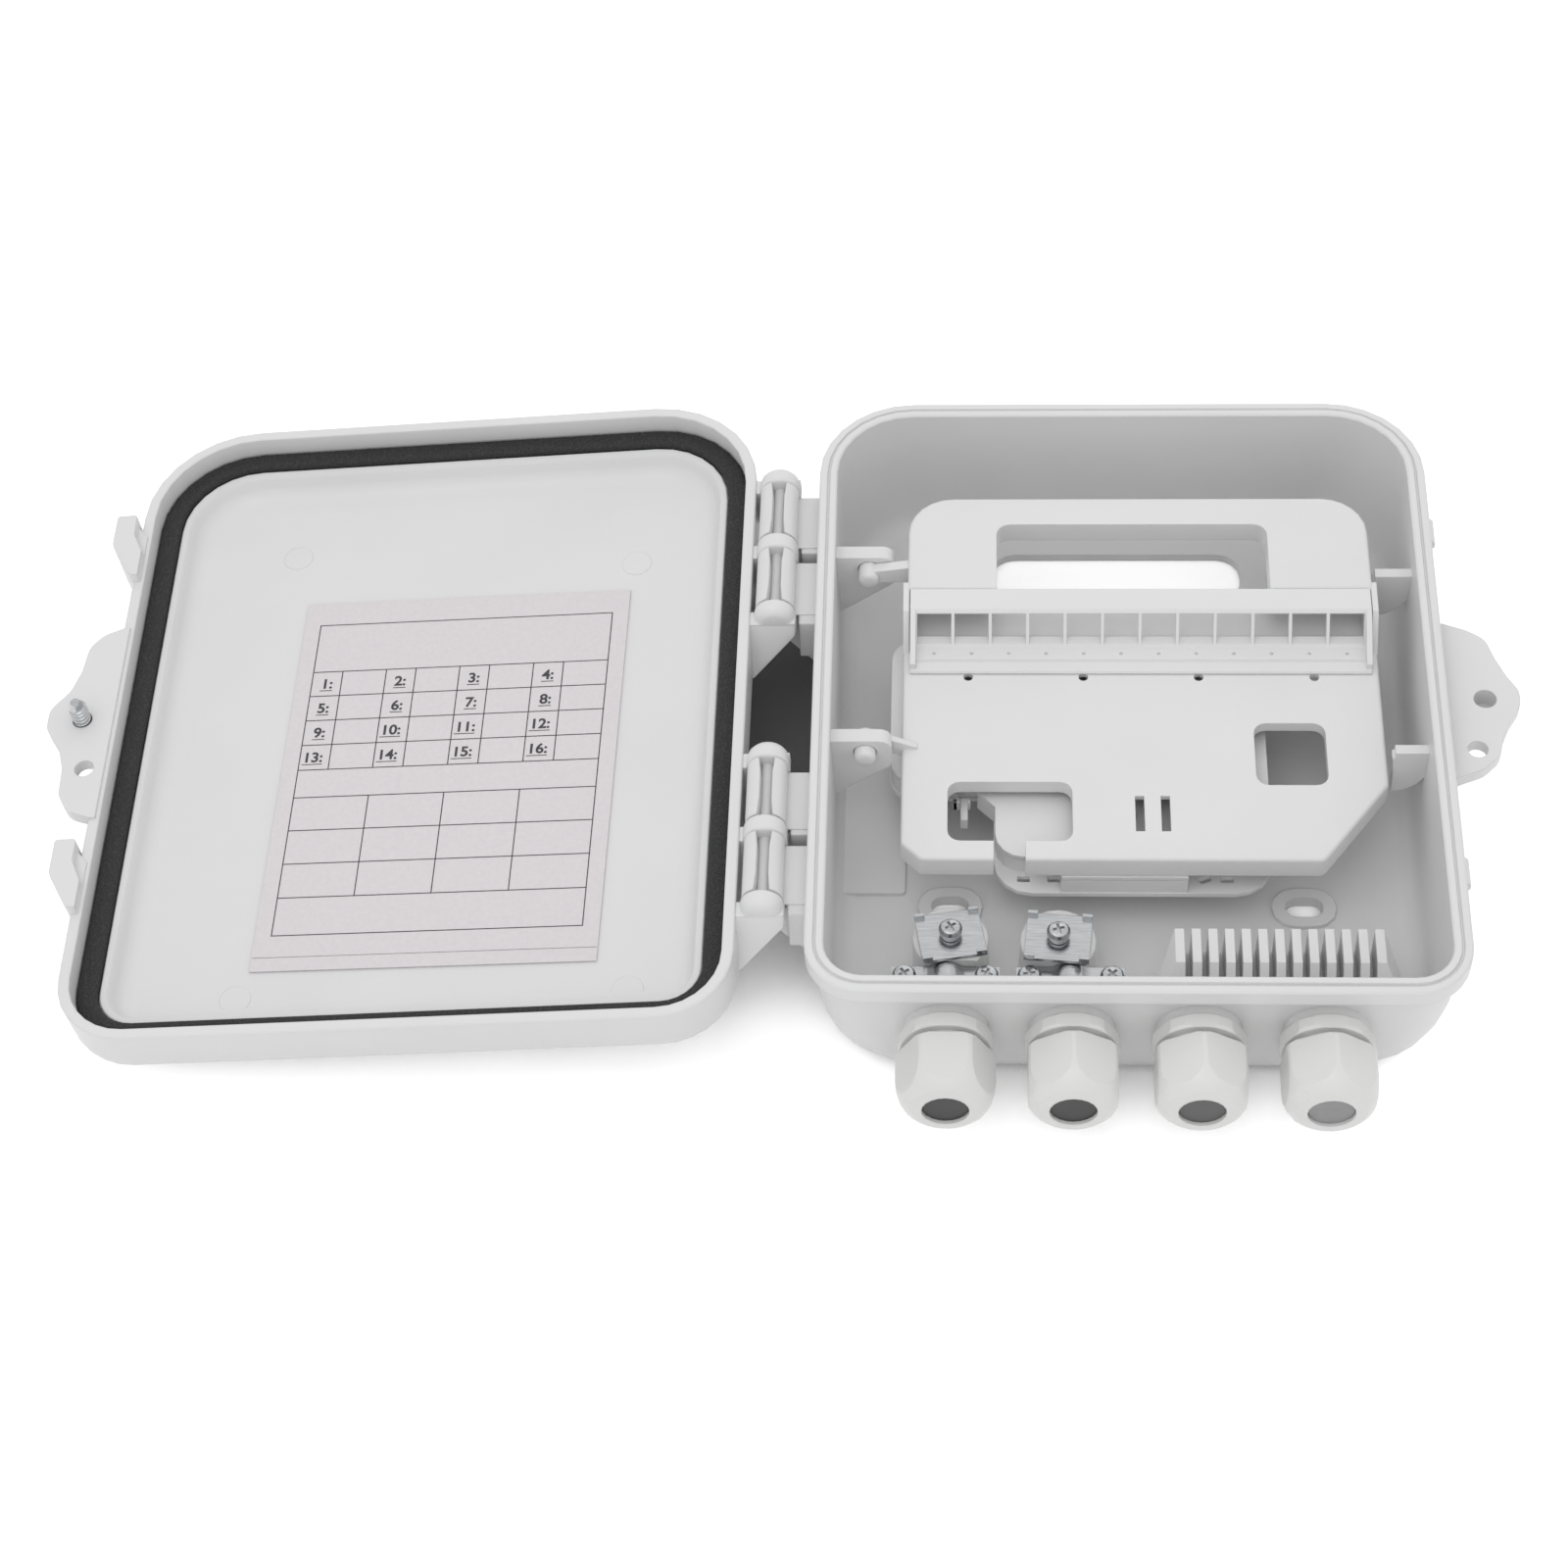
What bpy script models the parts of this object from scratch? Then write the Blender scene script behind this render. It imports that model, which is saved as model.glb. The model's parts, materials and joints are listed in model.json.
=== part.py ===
"""Fibre distribution box for twelve adapters, lying on its back with its lid open.

The sizes below are in millimetres, and the meshes are in metres. X runs from the hinge side to the lock
side, Y from the gland wall to the far wall, and Z out of the box. The origin is the middle of the back face.
The lid's pieces are drawn with the lid closed, and an empty on the hinge axis turns them open.
"""

import math

import bmesh
import bpy
from mathutils import Matrix, Vector

MM = 0.001
CLEARANCE = 0.3  # between pieces that touch

# Base moulding
RIM_HALF_WIDTH = 101.5
RIM_HALF_LENGTH = 121.1
FAR_CORNER_RADIUS = 31.5
NEAR_CORNER_RADIUS = 18.0
CORNER_STEPS = 7
CORNER_SWELL = 32.0  # how much rounder the corners are at the back face than at the flange
BASE_DEPTH = 54.0
BASE_WALL = 2.9
FLOOR_THICKNESS = 3.0
FLANGE_OVERHANG = 3.0
FLANGE_HEIGHT = 7.0
RIM_WIDTH = 6.0
RIM_TONGUE_WIDTH = 2.4
RIM_LEDGE_DROP = 0.3
RIM_GROOVE_DEPTH = 0.6
RIM_EDGE = 0.5
WALL_DRAFT = 1.5
BACK_FILLET = 9.0

# Hinge
HINGE_OUTSIDE_RIM = 13.57
HINGE_BELOW_RIM = 5.2
HINGE_RING_RADIUS = 6.8
HINGE_CLIP_RADIUS = 6.5
HINGE_PIN_RADIUS = 2.25
HINGE_GROUP_PLACE = 58.5
HINGE_PITCH = 29.0
HINGE_RING_LENGTH = 6.0
HINGE_DOME_LENGTH = 7.0
HINGE_DOME_REACH = 4.0
HINGE_DOME_DROP = 3.4
CLIP_SLOT_WIDTH = 4.3
CLIP_LIP_BULGE = 0.55
CLIP_ARM_DEPTH = 25.0
LID_OPEN_ANGLE = 184.82

# Lid moulding
LID_LIP_OVERHANG = 5.5
LID_LIP_THICKNESS = 3.7
LID_LIP_REACH = 6.4
LID_HEIGHT = 19.7
LID_PANEL_THICKNESS = 2.8
LID_EDGE_FILLET = 5.5
LID_DISH_FILLET = 7.0
LID_RIDGE_HEIGHT = 1.3
LID_RIDGE_WIDTH = 2.4
GASKET_THICKNESS = 3.0
GASKET_WIDTH = 6.7
LABEL_WIDTH = 112.0
LABEL_LENGTH = 152.0
LABEL_THICKNESS = 0.3
LABEL_PLACE = (-6.0, -17.1)
LABEL_TURN = 0.7

# Lock ears, snap hooks and catches
EAR_THICKNESS = 4.5
# Corners of the two ears, as the distance outside the rim and the place along Y
BASE_EAR_EDGE = (
    (2.4, 31.5),
    (9.9, 28.6),
    (15.5, 25.0),
    (17.9, 17.3),
    (21.1, 9.5),
    (24.7, 3.5),
    (24.7, -2.5),
    (20.9, -9.0),
    (18.1, -15.5),
    (16.5, -22.8),
    (11.0, -28.4),
    (2.4, -32.0),
)
LID_EAR_EDGE = (
    (4.8, 39.0),
    (11.5, 36.2),
    (15.9, 31.0),
    (16.9, 21.0),
    (19.5, 12.5),
    (25.5, 5.0),
    (25.5, -3.0),
    (19.5, -12.5),
    (17.3, -20.5),
    (16.9, -31.0),
    (13.0, -38.0),
    (4.8, -40.8),
)
EAR_EDGE_RADIUS = 7.0
EAR_GAP = 3.2
LOCK_PLACE = 13.5
LOCK_SCREW_RADIUS = 3.0
LOCK_SCREW_REACH = 9.5
LOCK_SCREW_HEAD_RADIUS = 5.0
LOCK_SCREW_HEAD_HEIGHT = 4.0
LOCK_SCREW_PLAY = 0.7
SEAL_HOLE_RADIUS = 3.3
SEAL_HOLE_SPACING = 20.5
SEAL_HOLE_PLACES = (9.5, 9.8)  # outside the rim, in the base's ear and the lid's
HOOK_STARTS = (60.1, -78.5)
HOOK_LENGTH = 27.0
HOOK_STAND_OFF = 8.2
HOOK_THICKNESS = 7.0
HOOK_REACH = 4.0
CATCH_PLACE = 70.0
CATCH_LENGTH = 10.0
CATCH_REACH = 2.5

# Openings and fixings in the floor
REAR_SLOT_LENGTH = 86.0
REAR_SLOT_WIDTH = 20.0
REAR_SLOT_RADIUS = 8.0
REAR_SLOT_PLACE = 86.5
MOUNTING_SLOT_PLACE = (57.0, -55.0)
MOUNTING_SLOT_LENGTH = 12.5
MOUNTING_SLOT_WIDTH = 7.5
MOUNTING_RING_LENGTH = 21.0
MOUNTING_RING_WIDTH = 15.0
MOUNTING_RING_HEIGHT = 1.6
FLOOR_PAD_WIDTH = 24.0
FLOOR_PAD_LENGTH = 60.0
FLOOR_PAD_HEIGHT = 1.5
FLOOR_PAD_END = -50.0

# Adapter tray
TRAY_LEFT = -72.8
TRAY_RIGHT = 83.0
TRAY_FRONT = -59.0
TRAY_STEP = 43.0
TRAY_BACK = 83.0
TRAY_TOP = 36.0
HANDLE_TOP = 48.0
HANDLE_INSET = 1.5
HANDLE_RADIUS = 15.0
HANDLE_SLOT_ENDS = (-41.9, 48.1)
HANDLE_SLOT_BACK = 71.0
HANDLE_SLOT_RADIUS = 4.5
TRAY_SHEET = 2.0
TRAY_SKIRT = 8.5
HANDLE_SKIRT = 8.0
TRAY_EDGE_FILLET = 1.2
TRAY_CUT_CORNER = (22.0, 30.0)
TRAY_SMALL_CORNER = 6.4
TRAY_PIN_RADIUS = 3.5
TRAY_PIN_PLACE = (-84.5, 41.5)
UPPER_ARM = (3.6, 2.9)  # width and knuckle radius
LOWER_ARM = (2.2, 3.0)
BRACKET_THICKNESS = 5.2
BRACKET_PLACES = (59.6, -18.0)
BRACKET_END_RADIUS = 8.5
BRACKET_DROP = 24.0
SNAP_RIB_THICKNESS = 3.6
SNAP_RIB_PLACES = (53.0, -21.0)
SNAP_RIB_TOP = 44.0
SNAP_RIB_DROP = 20.0
SNAP_RIB_STAND_OFF = 1.8
SNAP_RIB_ROOT = 6.0
SNAP_NUB_RADIUS = 0.8
PLATE_HOLE_RADIUS = 1.6
PLATE_HOLE_PITCH = 37.7
PLATE_HOLE_FIRST = -51.3
PLATE_HOLE_ROW = 15.0
WINDOW_HOLE_SIZE = (23.0, 25.1)
WINDOW_HOLE_PLACE = (52.5, -16.75)
WINDOW_HOLE_RADIUS = 4.0
TIE_SLOT_SIZE = (2.9, 14.0)
TIE_SLOT_PLACES = (3.4, 11.6)
TIE_SLOT_ROW = -40.8
FIBRE_GATE_SIZE = (39.9, 23.4)
FIBRE_GATE_PLACE = (-37.95, -40.0)
FIBRE_GATE_RADIUS = 4.0
FIBRE_GATE_MOUTH = (-43.2, -33.1)
HANGING_POST_RADIUS = 4.0
HANGING_POSTS = ((-58.0, 24.0), (30.0, 24.0), (30.0, -46.0), (-28.0, -14.0))

# Adapter rack
WINDOW_COUNT = 12
WINDOW_PITCH = 12.3
WINDOW_DIVIDER = 1.1
RACK_END_WIDTH = 1.9
RACK_BAND_WIDTH = 9.0
RACK_BAND_THICKNESS = 1.2
RACK_PANEL_FOOT = 26.0
RACK_PANEL_THICKNESS = 2.0
RACK_FLOOR_FRONT = 20.6
RACK_LIP_WIDTH = 4.6
RACK_LIP_HEIGHT = 0.8
RACK_FLOOR_HEIGHT = 2.0
RACK_DOT = (0.6, 0.5)  # radius and depth

# Splice tray
SPLICE_LEFT = -77.0
SPLICE_RIGHT = 46.0
SPLICE_BACK = 38.0
SPLICE_FRONT = -60.0
SPLICE_STEP = (-43.0, -22.0)
SPLICE_FLOOR = 17.2
SPLICE_SHEET = 1.8
SPLICE_WALL = 1.6
SPLICE_COVER_THICKNESS = 1.5
SPLICE_FRONT_WALL = (-22.0, 19.0)
SPLICE_CORNER_RADII = (12.0, 12.0, 8.0, 8.0, 8.0, 4.0)
SPLICE_WALL_RADII = (9.0, 0.0, 0.0, 0.0, 0.0, 9.0, 8.0, 8.0, 8.0, 0.0, 0.0, 0.0)
SPLICE_WALL_INSET = 0.4
SPOOL_RADIUS = 16.0
SPOOL_WALL = 1.5
SPOOL_PLACES = (36.0, -30.0)  # from the tray's left and right sides
SPOOL_ROW = 8.0
HOLDER_ENDS = (-12.0, 18.0)
HOLDER_FIRST_RIB = -34.0
HOLDER_PITCH = 4.0
HOLDER_RIBS = 5
HOLDER_RIB_WIDTH = 1.2
SPLICE_TIE_SLOTS = ((-33.5, 0.0), (-23.9, 0.0), (24.5, 22.0), (31.5, 0.0))  # place along X and turn
SPLICE_TIE_SLOT_SIZE = (4.0, 2.2)
SPLICE_TIE_SLOT_ROW = 5.5  # from the tray's front
SPLICE_SET_BACK = 8.0
SPLICE_CUT_CORNER = (5.7, 4.2, 10.0)  # width, then its far and near ends from the step

# Cable comb
COMB_FIRST_FINGER = 13.6
COMB_PITCH = 5.2
COMB_FINGERS = 13
COMB_FINGER_WIDTH = 2.9
COMB_BACK = -78.3
COMB_FRONT = -95.0
COMB_TOP = 26.0
COMB_ROOT = 13.0
COMB_CHAMFER = 5.0
COMB_FLARE = 7.0

# Cable clamps
CLAMP_PLACES = ((-56.8, -78.5, 10.0), (-22.8, -79.3, -5.0))
CLAMP_POST_RADIUS = 12.0
CLAMP_PLATE_SIZE = (20.5, 17.5)
CLAMP_PLATE_TOP = 22.2
CLAMP_SHEET = 1.2
CLAMP_TAB_WIDTH = 3.2
CLAMP_TAB_HEIGHT = 1.6
CLAMP_SCREW_RADIUS = 2.0
CLAMP_SCREW_HEAD = (3.75, 2.6)
CLAMP_WASHER = (3.1, 1.8)
SADDLE_PLACES = (-58.4, -19.0)
SADDLE_ROW = -91.5
SADDLE_SCREW_SPACING = 26.0
SADDLE_WIDTH = 8.0
SADDLE_ARCH_RADIUS = 6.5
SADDLE_TOP = 20.5
SADDLE_FOOT_TOP = 17.5
SADDLE_BOSS_RADIUS = 4.2
SADDLE_SCREW_HEAD = (3.8, 2.4)
SADDLE_SCREW_RADIUS = 1.7

# Cable glands
GLAND_PLACES = (-58.1, -19.4, 19.4, 58.1)
GLAND_TURNS = (0.0, 30.0, 28.0, 25.0)
GLAND_HEIGHT = 28.8
GLAND_SEAT_DEPTH = 0.4  # these four are from the near side of the rim
GLAND_INNER_SEAT_DEPTH = 8.1
GLAND_NUT_STAND_OFF = 6.9
GLAND_THREAD_REACH = 16.1
GLAND_PAD_RADIUS = 13.2
GLAND_HEX = 27.5
GLAND_HEX_HEIGHT = 5.0
GLAND_HEX_CORNERS = 29.4
GLAND_THREAD_RADIUS = 10.0
GLAND_OUTER_THREAD_RADIUS = 11.4
GLAND_THREAD_WALL = 1.6
GLAND_BORE_RADIUS = 7.6
GLAND_NUT_FLATS = 27.2
GLAND_NUT_CORNERS = 30.8
GLAND_NUT_LENGTH = 20.0
GLAND_NUT_WALL = 1.5
GLAND_MOUTH_RADIUS = 7.3
GLAND_LOCKNUT_FLATS = 24.0
GLAND_LOCKNUT_HEIGHT = 5.0

# Places worked out from the sizes above
FLANGE_BOTTOM = BASE_DEPTH - FLANGE_HEIGHT
INNER_WALL = FLANGE_OVERHANG + BASE_WALL
HINGE_X = -RIM_HALF_WIDTH - HINGE_OUTSIDE_RIM
HINGE_Z = BASE_DEPTH - HINGE_BELOW_RIM
LIP_BOTTOM = BASE_DEPTH - LID_LIP_REACH
LID_TOP = LIP_BOTTOM + LID_HEIGHT
LID_PANEL = LID_TOP - LID_PANEL_THICKNESS
GASKET_FACE = BASE_DEPTH + CLEARANCE
GASKET_BACK = GASKET_FACE + GASKET_THICKNESS
LIP_INNER = LID_LIP_OVERHANG - LID_LIP_THICKNESS
BASE_EAR_TOP = LIP_BOTTOM - 0.9 - EAR_GAP
LID_EAR_BOTTOM = LIP_BOTTOM - 0.9
LOCK_X = RIM_HALF_WIDTH + LOCK_PLACE
RACK_LEFT = TRAY_LEFT + TRAY_SHEET + CLEARANCE
RACK_RIGHT = TRAY_RIGHT - TRAY_SHEET - CLEARANCE
RACK_BACK = TRAY_STEP - CLEARANCE
RACK_PANEL_FRONT = RACK_BACK - RACK_BAND_WIDTH
SPLICE_COVER_TOP = TRAY_TOP - TRAY_SKIRT - CLEARANCE
SPLICE_COVER_BOTTOM = SPLICE_COVER_TOP - SPLICE_COVER_THICKNESS
CLAMP_PLATE_BOTTOM = CLAMP_PLATE_TOP - CLAMP_SHEET
WALL_OUTSIDE = RIM_HALF_WIDTH - FLANGE_OVERHANG
WALL_INSIDE = RIM_HALF_WIDTH - INNER_WALL
GLAND_SEAT = -RIM_HALF_LENGTH + GLAND_SEAT_DEPTH
GLAND_INNER_SEAT = -RIM_HALF_LENGTH + GLAND_INNER_SEAT_DEPTH
GLAND_NUT_START = -RIM_HALF_LENGTH - GLAND_NUT_STAND_OFF
GLAND_THREAD_END = -RIM_HALF_LENGTH + GLAND_THREAD_REACH

materials = {}
empties = {}


def clear_scene():
    for item in list(bpy.data.objects):
        bpy.data.objects.remove(item, do_unlink=True)


# Outlines

def arc(centre, radius, start, end, steps):
    """Points on an arc, with the angles in degrees."""
    points = []
    for step in range(steps + 1):
        angle = math.radians(start + (end - start) * step / steps)
        points.append((centre[0] + radius * math.cos(angle), centre[1] + radius * math.sin(angle)))
    return points


def circle(centre, radius, steps):
    return arc(centre, radius, 0.0, 360.0, steps)[:-1]


def slot_outline(centre, length, width, steps=6):
    """A slot with round ends, along the first axis."""
    half = (length - width) / 2
    right = arc((centre[0] + half, centre[1]), width / 2, -90.0, 90.0, steps)
    left = arc((centre[0] - half, centre[1]), width / 2, 90.0, 270.0, steps)
    return right + left


def rounded(points, radii, steps=4):
    """The outline with each corner turned into an arc of its own radius."""
    outline = []
    for index, corner in enumerate(points):
        radius = radii[index] if isinstance(radii, (list, tuple)) else radii
        here = Vector(corner)
        back = (Vector(points[index - 1]) - here).normalized()
        onward = (Vector(points[(index + 1) % len(points)]) - here).normalized()
        half_angle = back.angle(onward) / 2
        if radius <= 0.0 or half_angle > math.radians(89.0):
            outline.append(tuple(here))
            continue
        reach = radius / math.tan(half_angle)
        middle = here + (back + onward).normalized() * radius / math.sin(half_angle)
        first = here + back * reach - middle
        sweep = first.angle_signed(here + onward * reach - middle)
        for step in range(steps + 1):
            spoke = first.copy()
            spoke.rotate(Matrix.Rotation(-sweep * step / steps, 2))
            outline.append(tuple(middle + spoke))
    return outline


def rectangle(centre, size, radius=0.0, steps=4):
    left, right = centre[0] - size[0] / 2, centre[0] + size[0] / 2
    front, back = centre[1] - size[1] / 2, centre[1] + size[1] / 2
    corners = [(left, front), (right, front), (right, back), (left, back)]
    return rounded(corners, radius, steps)


def inset(points, distance):
    """A closed anticlockwise outline moved inwards by the distance."""
    moved = []
    for index, corner in enumerate(points):
        here = Vector(corner)
        back = (here - Vector(points[index - 1])).normalized()
        onward = (Vector(points[(index + 1) % len(points)]) - here).normalized()
        normal = Vector((-back.y - onward.y, back.x + onward.x)).normalized()
        stretch = normal.dot(Vector((-onward.y, onward.x)))
        moved.append(tuple(here + normal * distance / stretch))
    return moved


def box_loop(offset, height, swell=0.0):
    """The rim's outline, grown by the offset, at a height: larger corners at the far wall."""
    half_x = RIM_HALF_WIDTH + offset
    half_y = RIM_HALF_LENGTH + offset
    near = max(NEAR_CORNER_RADIUS + offset + swell, 1.0)
    far = max(FAR_CORNER_RADIUS + offset + swell * 0.6, 1.0)
    corners = [(-half_x, -half_y), (half_x, -half_y), (half_x, half_y), (-half_x, half_y)]
    flat = rounded(corners, [near, near, far, far], CORNER_STEPS)
    return [(x, y, height) for x, y in flat]


# Forms

def loft(loops, closed_ring=False):
    """A solid through loops of as many points each. A closed ring joins the last loop to the first."""
    form = bmesh.new()
    rows = [[form.verts.new(point) for point in loop] for loop in loops]
    pairs = list(zip(rows, rows[1:]))
    if closed_ring:
        pairs.append((rows[-1], rows[0]))
    else:
        form.faces.new(rows[0])
        form.faces.new(rows[-1])
    for lower, upper in pairs:
        for index in range(len(lower)):
            after = (index + 1) % len(lower)
            form.faces.new((lower[index], lower[after], upper[after], upper[index]))
    bmesh.ops.recalc_face_normals(form, faces=form.faces)
    return form


def prism(outline, low, high, axis="Z"):
    """The outline drawn out along an axis. On Y the outline holds X and Z, and on X it holds Y and Z."""
    if axis == "Z":
        loops = [[(u, v, level) for u, v in outline] for level in (low, high)]
    elif axis == "Y":
        loops = [[(u, level, v) for u, v in outline] for level in (low, high)]
    else:
        loops = [[(level, u, v) for u, v in outline] for level in (low, high)]
    return loft(loops)


def soft_prism(outline, low, high, fillet, steps=3):
    """A prism along Z whose top edge is rounded."""
    loops = [[(x, y, low) for x, y in outline]]
    for step in range(steps + 1):
        angle = math.radians(90.0 * step / steps)
        ring = inset(outline, fillet * (1.0 - math.cos(angle)))
        loops.append([(x, y, high - fillet + fillet * math.sin(angle)) for x, y in ring])
    return loft(loops)


def box(low, high):
    left, front, bottom = low
    right, back, top = high
    return prism([(left, front), (right, front), (right, back), (left, back)], bottom, top)


def turned(profile, steps=24, centre=(0.0, 0.0, 0.0), axis="Z", hollow=False):
    """A turned solid from (radius, place along the axis) pairs. A hollow one has a closed profile."""
    loops = []
    for radius, place in profile:
        ring = circle((0.0, 0.0), radius, steps)
        if axis == "Z":
            loops.append([(centre[0] + u, centre[1] + v, place) for u, v in ring])
        else:
            loops.append([(centre[0] + u, place, centre[2] + v) for u, v in ring])
    return loft(loops, closed_ring=hollow)


def temporary(form):
    mesh = bpy.data.meshes.new("temporary")
    form.to_mesh(mesh)
    form.free()
    item = bpy.data.objects.new("temporary", mesh)
    bpy.context.scene.collection.objects.link(item)
    return item


def combined(form, others, operation):
    """The form after an exact Boolean with each of the others."""
    host = temporary(form)
    helpers = [temporary(other) for other in others]
    for helper in helpers:
        modifier = host.modifiers.new("combine", "BOOLEAN")
        modifier.operation = operation
        modifier.solver = "EXACT"
        modifier.object = helper
    bpy.context.view_layer.update()
    evaluated = host.evaluated_get(bpy.context.evaluated_depsgraph_get())
    result = bmesh.new()
    result.from_mesh(evaluated.to_mesh())
    evaluated.to_mesh_clear()
    for item in helpers + [host]:
        mesh = item.data
        bpy.data.objects.remove(item, do_unlink=True)
        bpy.data.meshes.remove(mesh)
    bmesh.ops.remove_doubles(result, verts=result.verts, dist=0.002)
    return result


def joined(form, others):
    return combined(form, others, "UNION")


def cut(form, others):
    return combined(form, others, "DIFFERENCE")


def shared(form, other):
    return combined(form, [other], "INTERSECT")


def turn_about_z(form, degrees, centre):
    bmesh.ops.rotate(
        form,
        verts=form.verts,
        cent=(centre[0], centre[1], 0.0),
        matrix=Matrix.Rotation(math.radians(degrees), 3, "Z"),
    )
    return form


# Objects

def make_material(name, colour, roughness, metallic=0.0):
    material = bpy.data.materials.new(name)
    material.use_nodes = True
    shader = material.node_tree.nodes["Principled BSDF"]
    shader.inputs["Base Color"].default_value = (*colour, 1.0)
    shader.inputs["Roughness"].default_value = roughness
    shader.inputs["Metallic"].default_value = metallic
    materials[name] = material


def make_materials():
    make_material("white_plastic", (0.68, 0.68, 0.68), 0.45)
    make_material("inner_plastic", (0.68, 0.68, 0.68), 0.5)
    make_material("gland_plastic", (0.72, 0.72, 0.71), 0.4)
    make_material("black_rubber", (0.03, 0.03, 0.03), 0.6)
    make_material("seal_rubber", (0.05, 0.05, 0.05), 0.4)
    make_material("zinc_steel", (0.55, 0.56, 0.58), 0.3, 1.0)
    make_material("paper", (0.78, 0.74, 0.76), 0.7)


def add_empty(name, place, degrees=0.0):
    """A parent on a joint axis, turned about Y."""
    empty = bpy.data.objects.new(name, None)
    empty.location = Vector(place) * MM
    empty.rotation_euler = (0.0, math.radians(degrees), 0.0)
    empty.empty_display_size = 0.02
    bpy.context.scene.collection.objects.link(empty)
    empties[name] = Vector(place)


def add_part(name, form, material, parent=None, origin=(0.0, 0.0, 0.0)):
    """The object of one piece: its mesh lies around its own origin or its parent's, in metres."""
    home = empties[parent] if parent else Vector(origin)
    bmesh.ops.translate(form, verts=form.verts, vec=-home)
    bmesh.ops.scale(form, verts=form.verts, vec=(MM, MM, MM))
    bmesh.ops.recalc_face_normals(form, faces=form.faces)
    mesh = bpy.data.meshes.new(name)
    form.to_mesh(mesh)
    form.free()
    mesh.materials.append(materials[material])
    mesh.shade_smooth()
    mesh.set_sharp_from_angle(angle=math.radians(35.0))
    item = bpy.data.objects.new(name, mesh)
    bpy.context.scene.collection.objects.link(item)
    if parent:
        item.parent = bpy.data.objects[parent]
    else:
        item.location = home * MM


# Base moulding

def bowl_loop(offset, height):
    """A loop of the base wall, whose corners get rounder towards the back face."""
    down = 1.0 - min(height / FLANGE_BOTTOM, 1.0)
    return box_loop(offset, height, CORNER_SWELL * (1.0 - math.sqrt(1.0 - down * down)))


def bowl_wall(foot, rise, fillet, top):
    """Loops from the back face up one side of the base wall, as far as the flange's underside."""
    loops = []
    for angle in (0.0, 30.0, 60.0, 90.0):
        out = fillet * (1.0 - math.sin(math.radians(angle)))
        up = fillet * (1.0 - math.cos(math.radians(angle)))
        loops.append(bowl_loop(foot - out, rise + up))
    start = rise + fillet
    for share in (0.25, 0.55):
        loops.append(bowl_loop(foot + (top - foot) * share, start + (FLANGE_BOTTOM - start) * share))
    loops.append(bowl_loop(top, FLANGE_BOTTOM))
    return loops


def base_bowl():
    """The box as one loft: up the outside, over the stepped rim and down the inside."""
    foot = -FLANGE_OVERHANG - WALL_DRAFT
    ledge = BASE_DEPTH - RIM_LEDGE_DROP
    groove = ledge - RIM_GROOVE_DEPTH
    tongue_outer = -RIM_WIDTH + RIM_TONGUE_WIDTH
    loops = bowl_wall(foot, 0.0, BACK_FILLET, -FLANGE_OVERHANG)
    loops.append(box_loop(-RIM_EDGE, FLANGE_BOTTOM))
    loops.append(box_loop(0.0, FLANGE_BOTTOM + RIM_EDGE))
    loops.append(box_loop(0.0, ledge - RIM_EDGE))
    loops.append(box_loop(-RIM_EDGE, ledge))
    loops.append(box_loop(tongue_outer + 1.0, ledge))
    loops.append(box_loop(tongue_outer + 0.8, groove))
    loops.append(box_loop(tongue_outer + 0.2, groove))
    loops.append(box_loop(tongue_outer, BASE_DEPTH))
    loops.append(box_loop(-RIM_WIDTH + RIM_EDGE, BASE_DEPTH))
    loops.append(box_loop(-RIM_WIDTH, BASE_DEPTH - RIM_EDGE))
    inside = bowl_wall(foot - BASE_WALL, FLOOR_THICKNESS, BACK_FILLET - BASE_WALL, -INNER_WALL - 0.1)
    return loft(loops + inside[::-1])


def hinge_clip_spans():
    """The lengths along Y of the base's four hinge clips, between the lid's rings."""
    spans = []
    for group in (HINGE_GROUP_PLACE, -HINGE_GROUP_PLACE):
        for side in (-0.5, 0.5):
            middle = group + side * HINGE_PITCH
            half = (HINGE_PITCH - HINGE_RING_LENGTH) / 2 - CLEARANCE
            spans.append((middle - half, middle + half))
    return spans


def hinge_clip(span):
    """A round clip on a tall arm that grows out of the wall under the flange."""
    low, high = span
    barrel = prism(circle((HINGE_X, HINGE_Z), HINGE_CLIP_RADIUS, 24), low, high, "Y")
    arm_top = FLANGE_BOTTOM - 0.4
    wall = -WALL_OUTSIDE + 0.8
    arm = prism(
        [
            (HINGE_X - 3.0, HINGE_Z - HINGE_CLIP_RADIUS + 0.8),
            (wall - 4.5, arm_top - CLIP_ARM_DEPTH),
            (wall, arm_top - CLIP_ARM_DEPTH),
            (wall, arm_top),
            (HINGE_X + 3.0, arm_top),
        ],
        low,
        high,
        "Y",
    )
    return joined(barrel, [arm])


def clip_cutters(span):
    """The bore for the pin, and the mouth above it that narrows at mid length."""
    low, high = span
    middle = (low + high) / 2
    wide = CLIP_SLOT_WIDTH / 2
    narrow = wide - CLIP_LIP_BULGE
    bore = prism(circle((HINGE_X, HINGE_Z), HINGE_PIN_RADIUS + CLEARANCE, 16), low - 1.0, high + 1.0, "Y")
    half = (high - low) / 2 + 1.0
    ends = half - 5.0
    mouth = prism(
        [
            (HINGE_X - wide, middle - half),
            (HINGE_X + wide, middle - half),
            (HINGE_X + narrow, middle - ends + 2.0),
            (HINGE_X + narrow, middle + ends - 2.0),
            (HINGE_X + wide, middle + half),
            (HINGE_X - wide, middle + half),
            (HINGE_X - narrow, middle + ends - 2.0),
            (HINGE_X - narrow, middle - ends + 2.0),
        ],
        HINGE_Z,
        HINGE_Z + HINGE_CLIP_RADIUS + 2.0,
    )
    return [bore, mouth]


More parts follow.
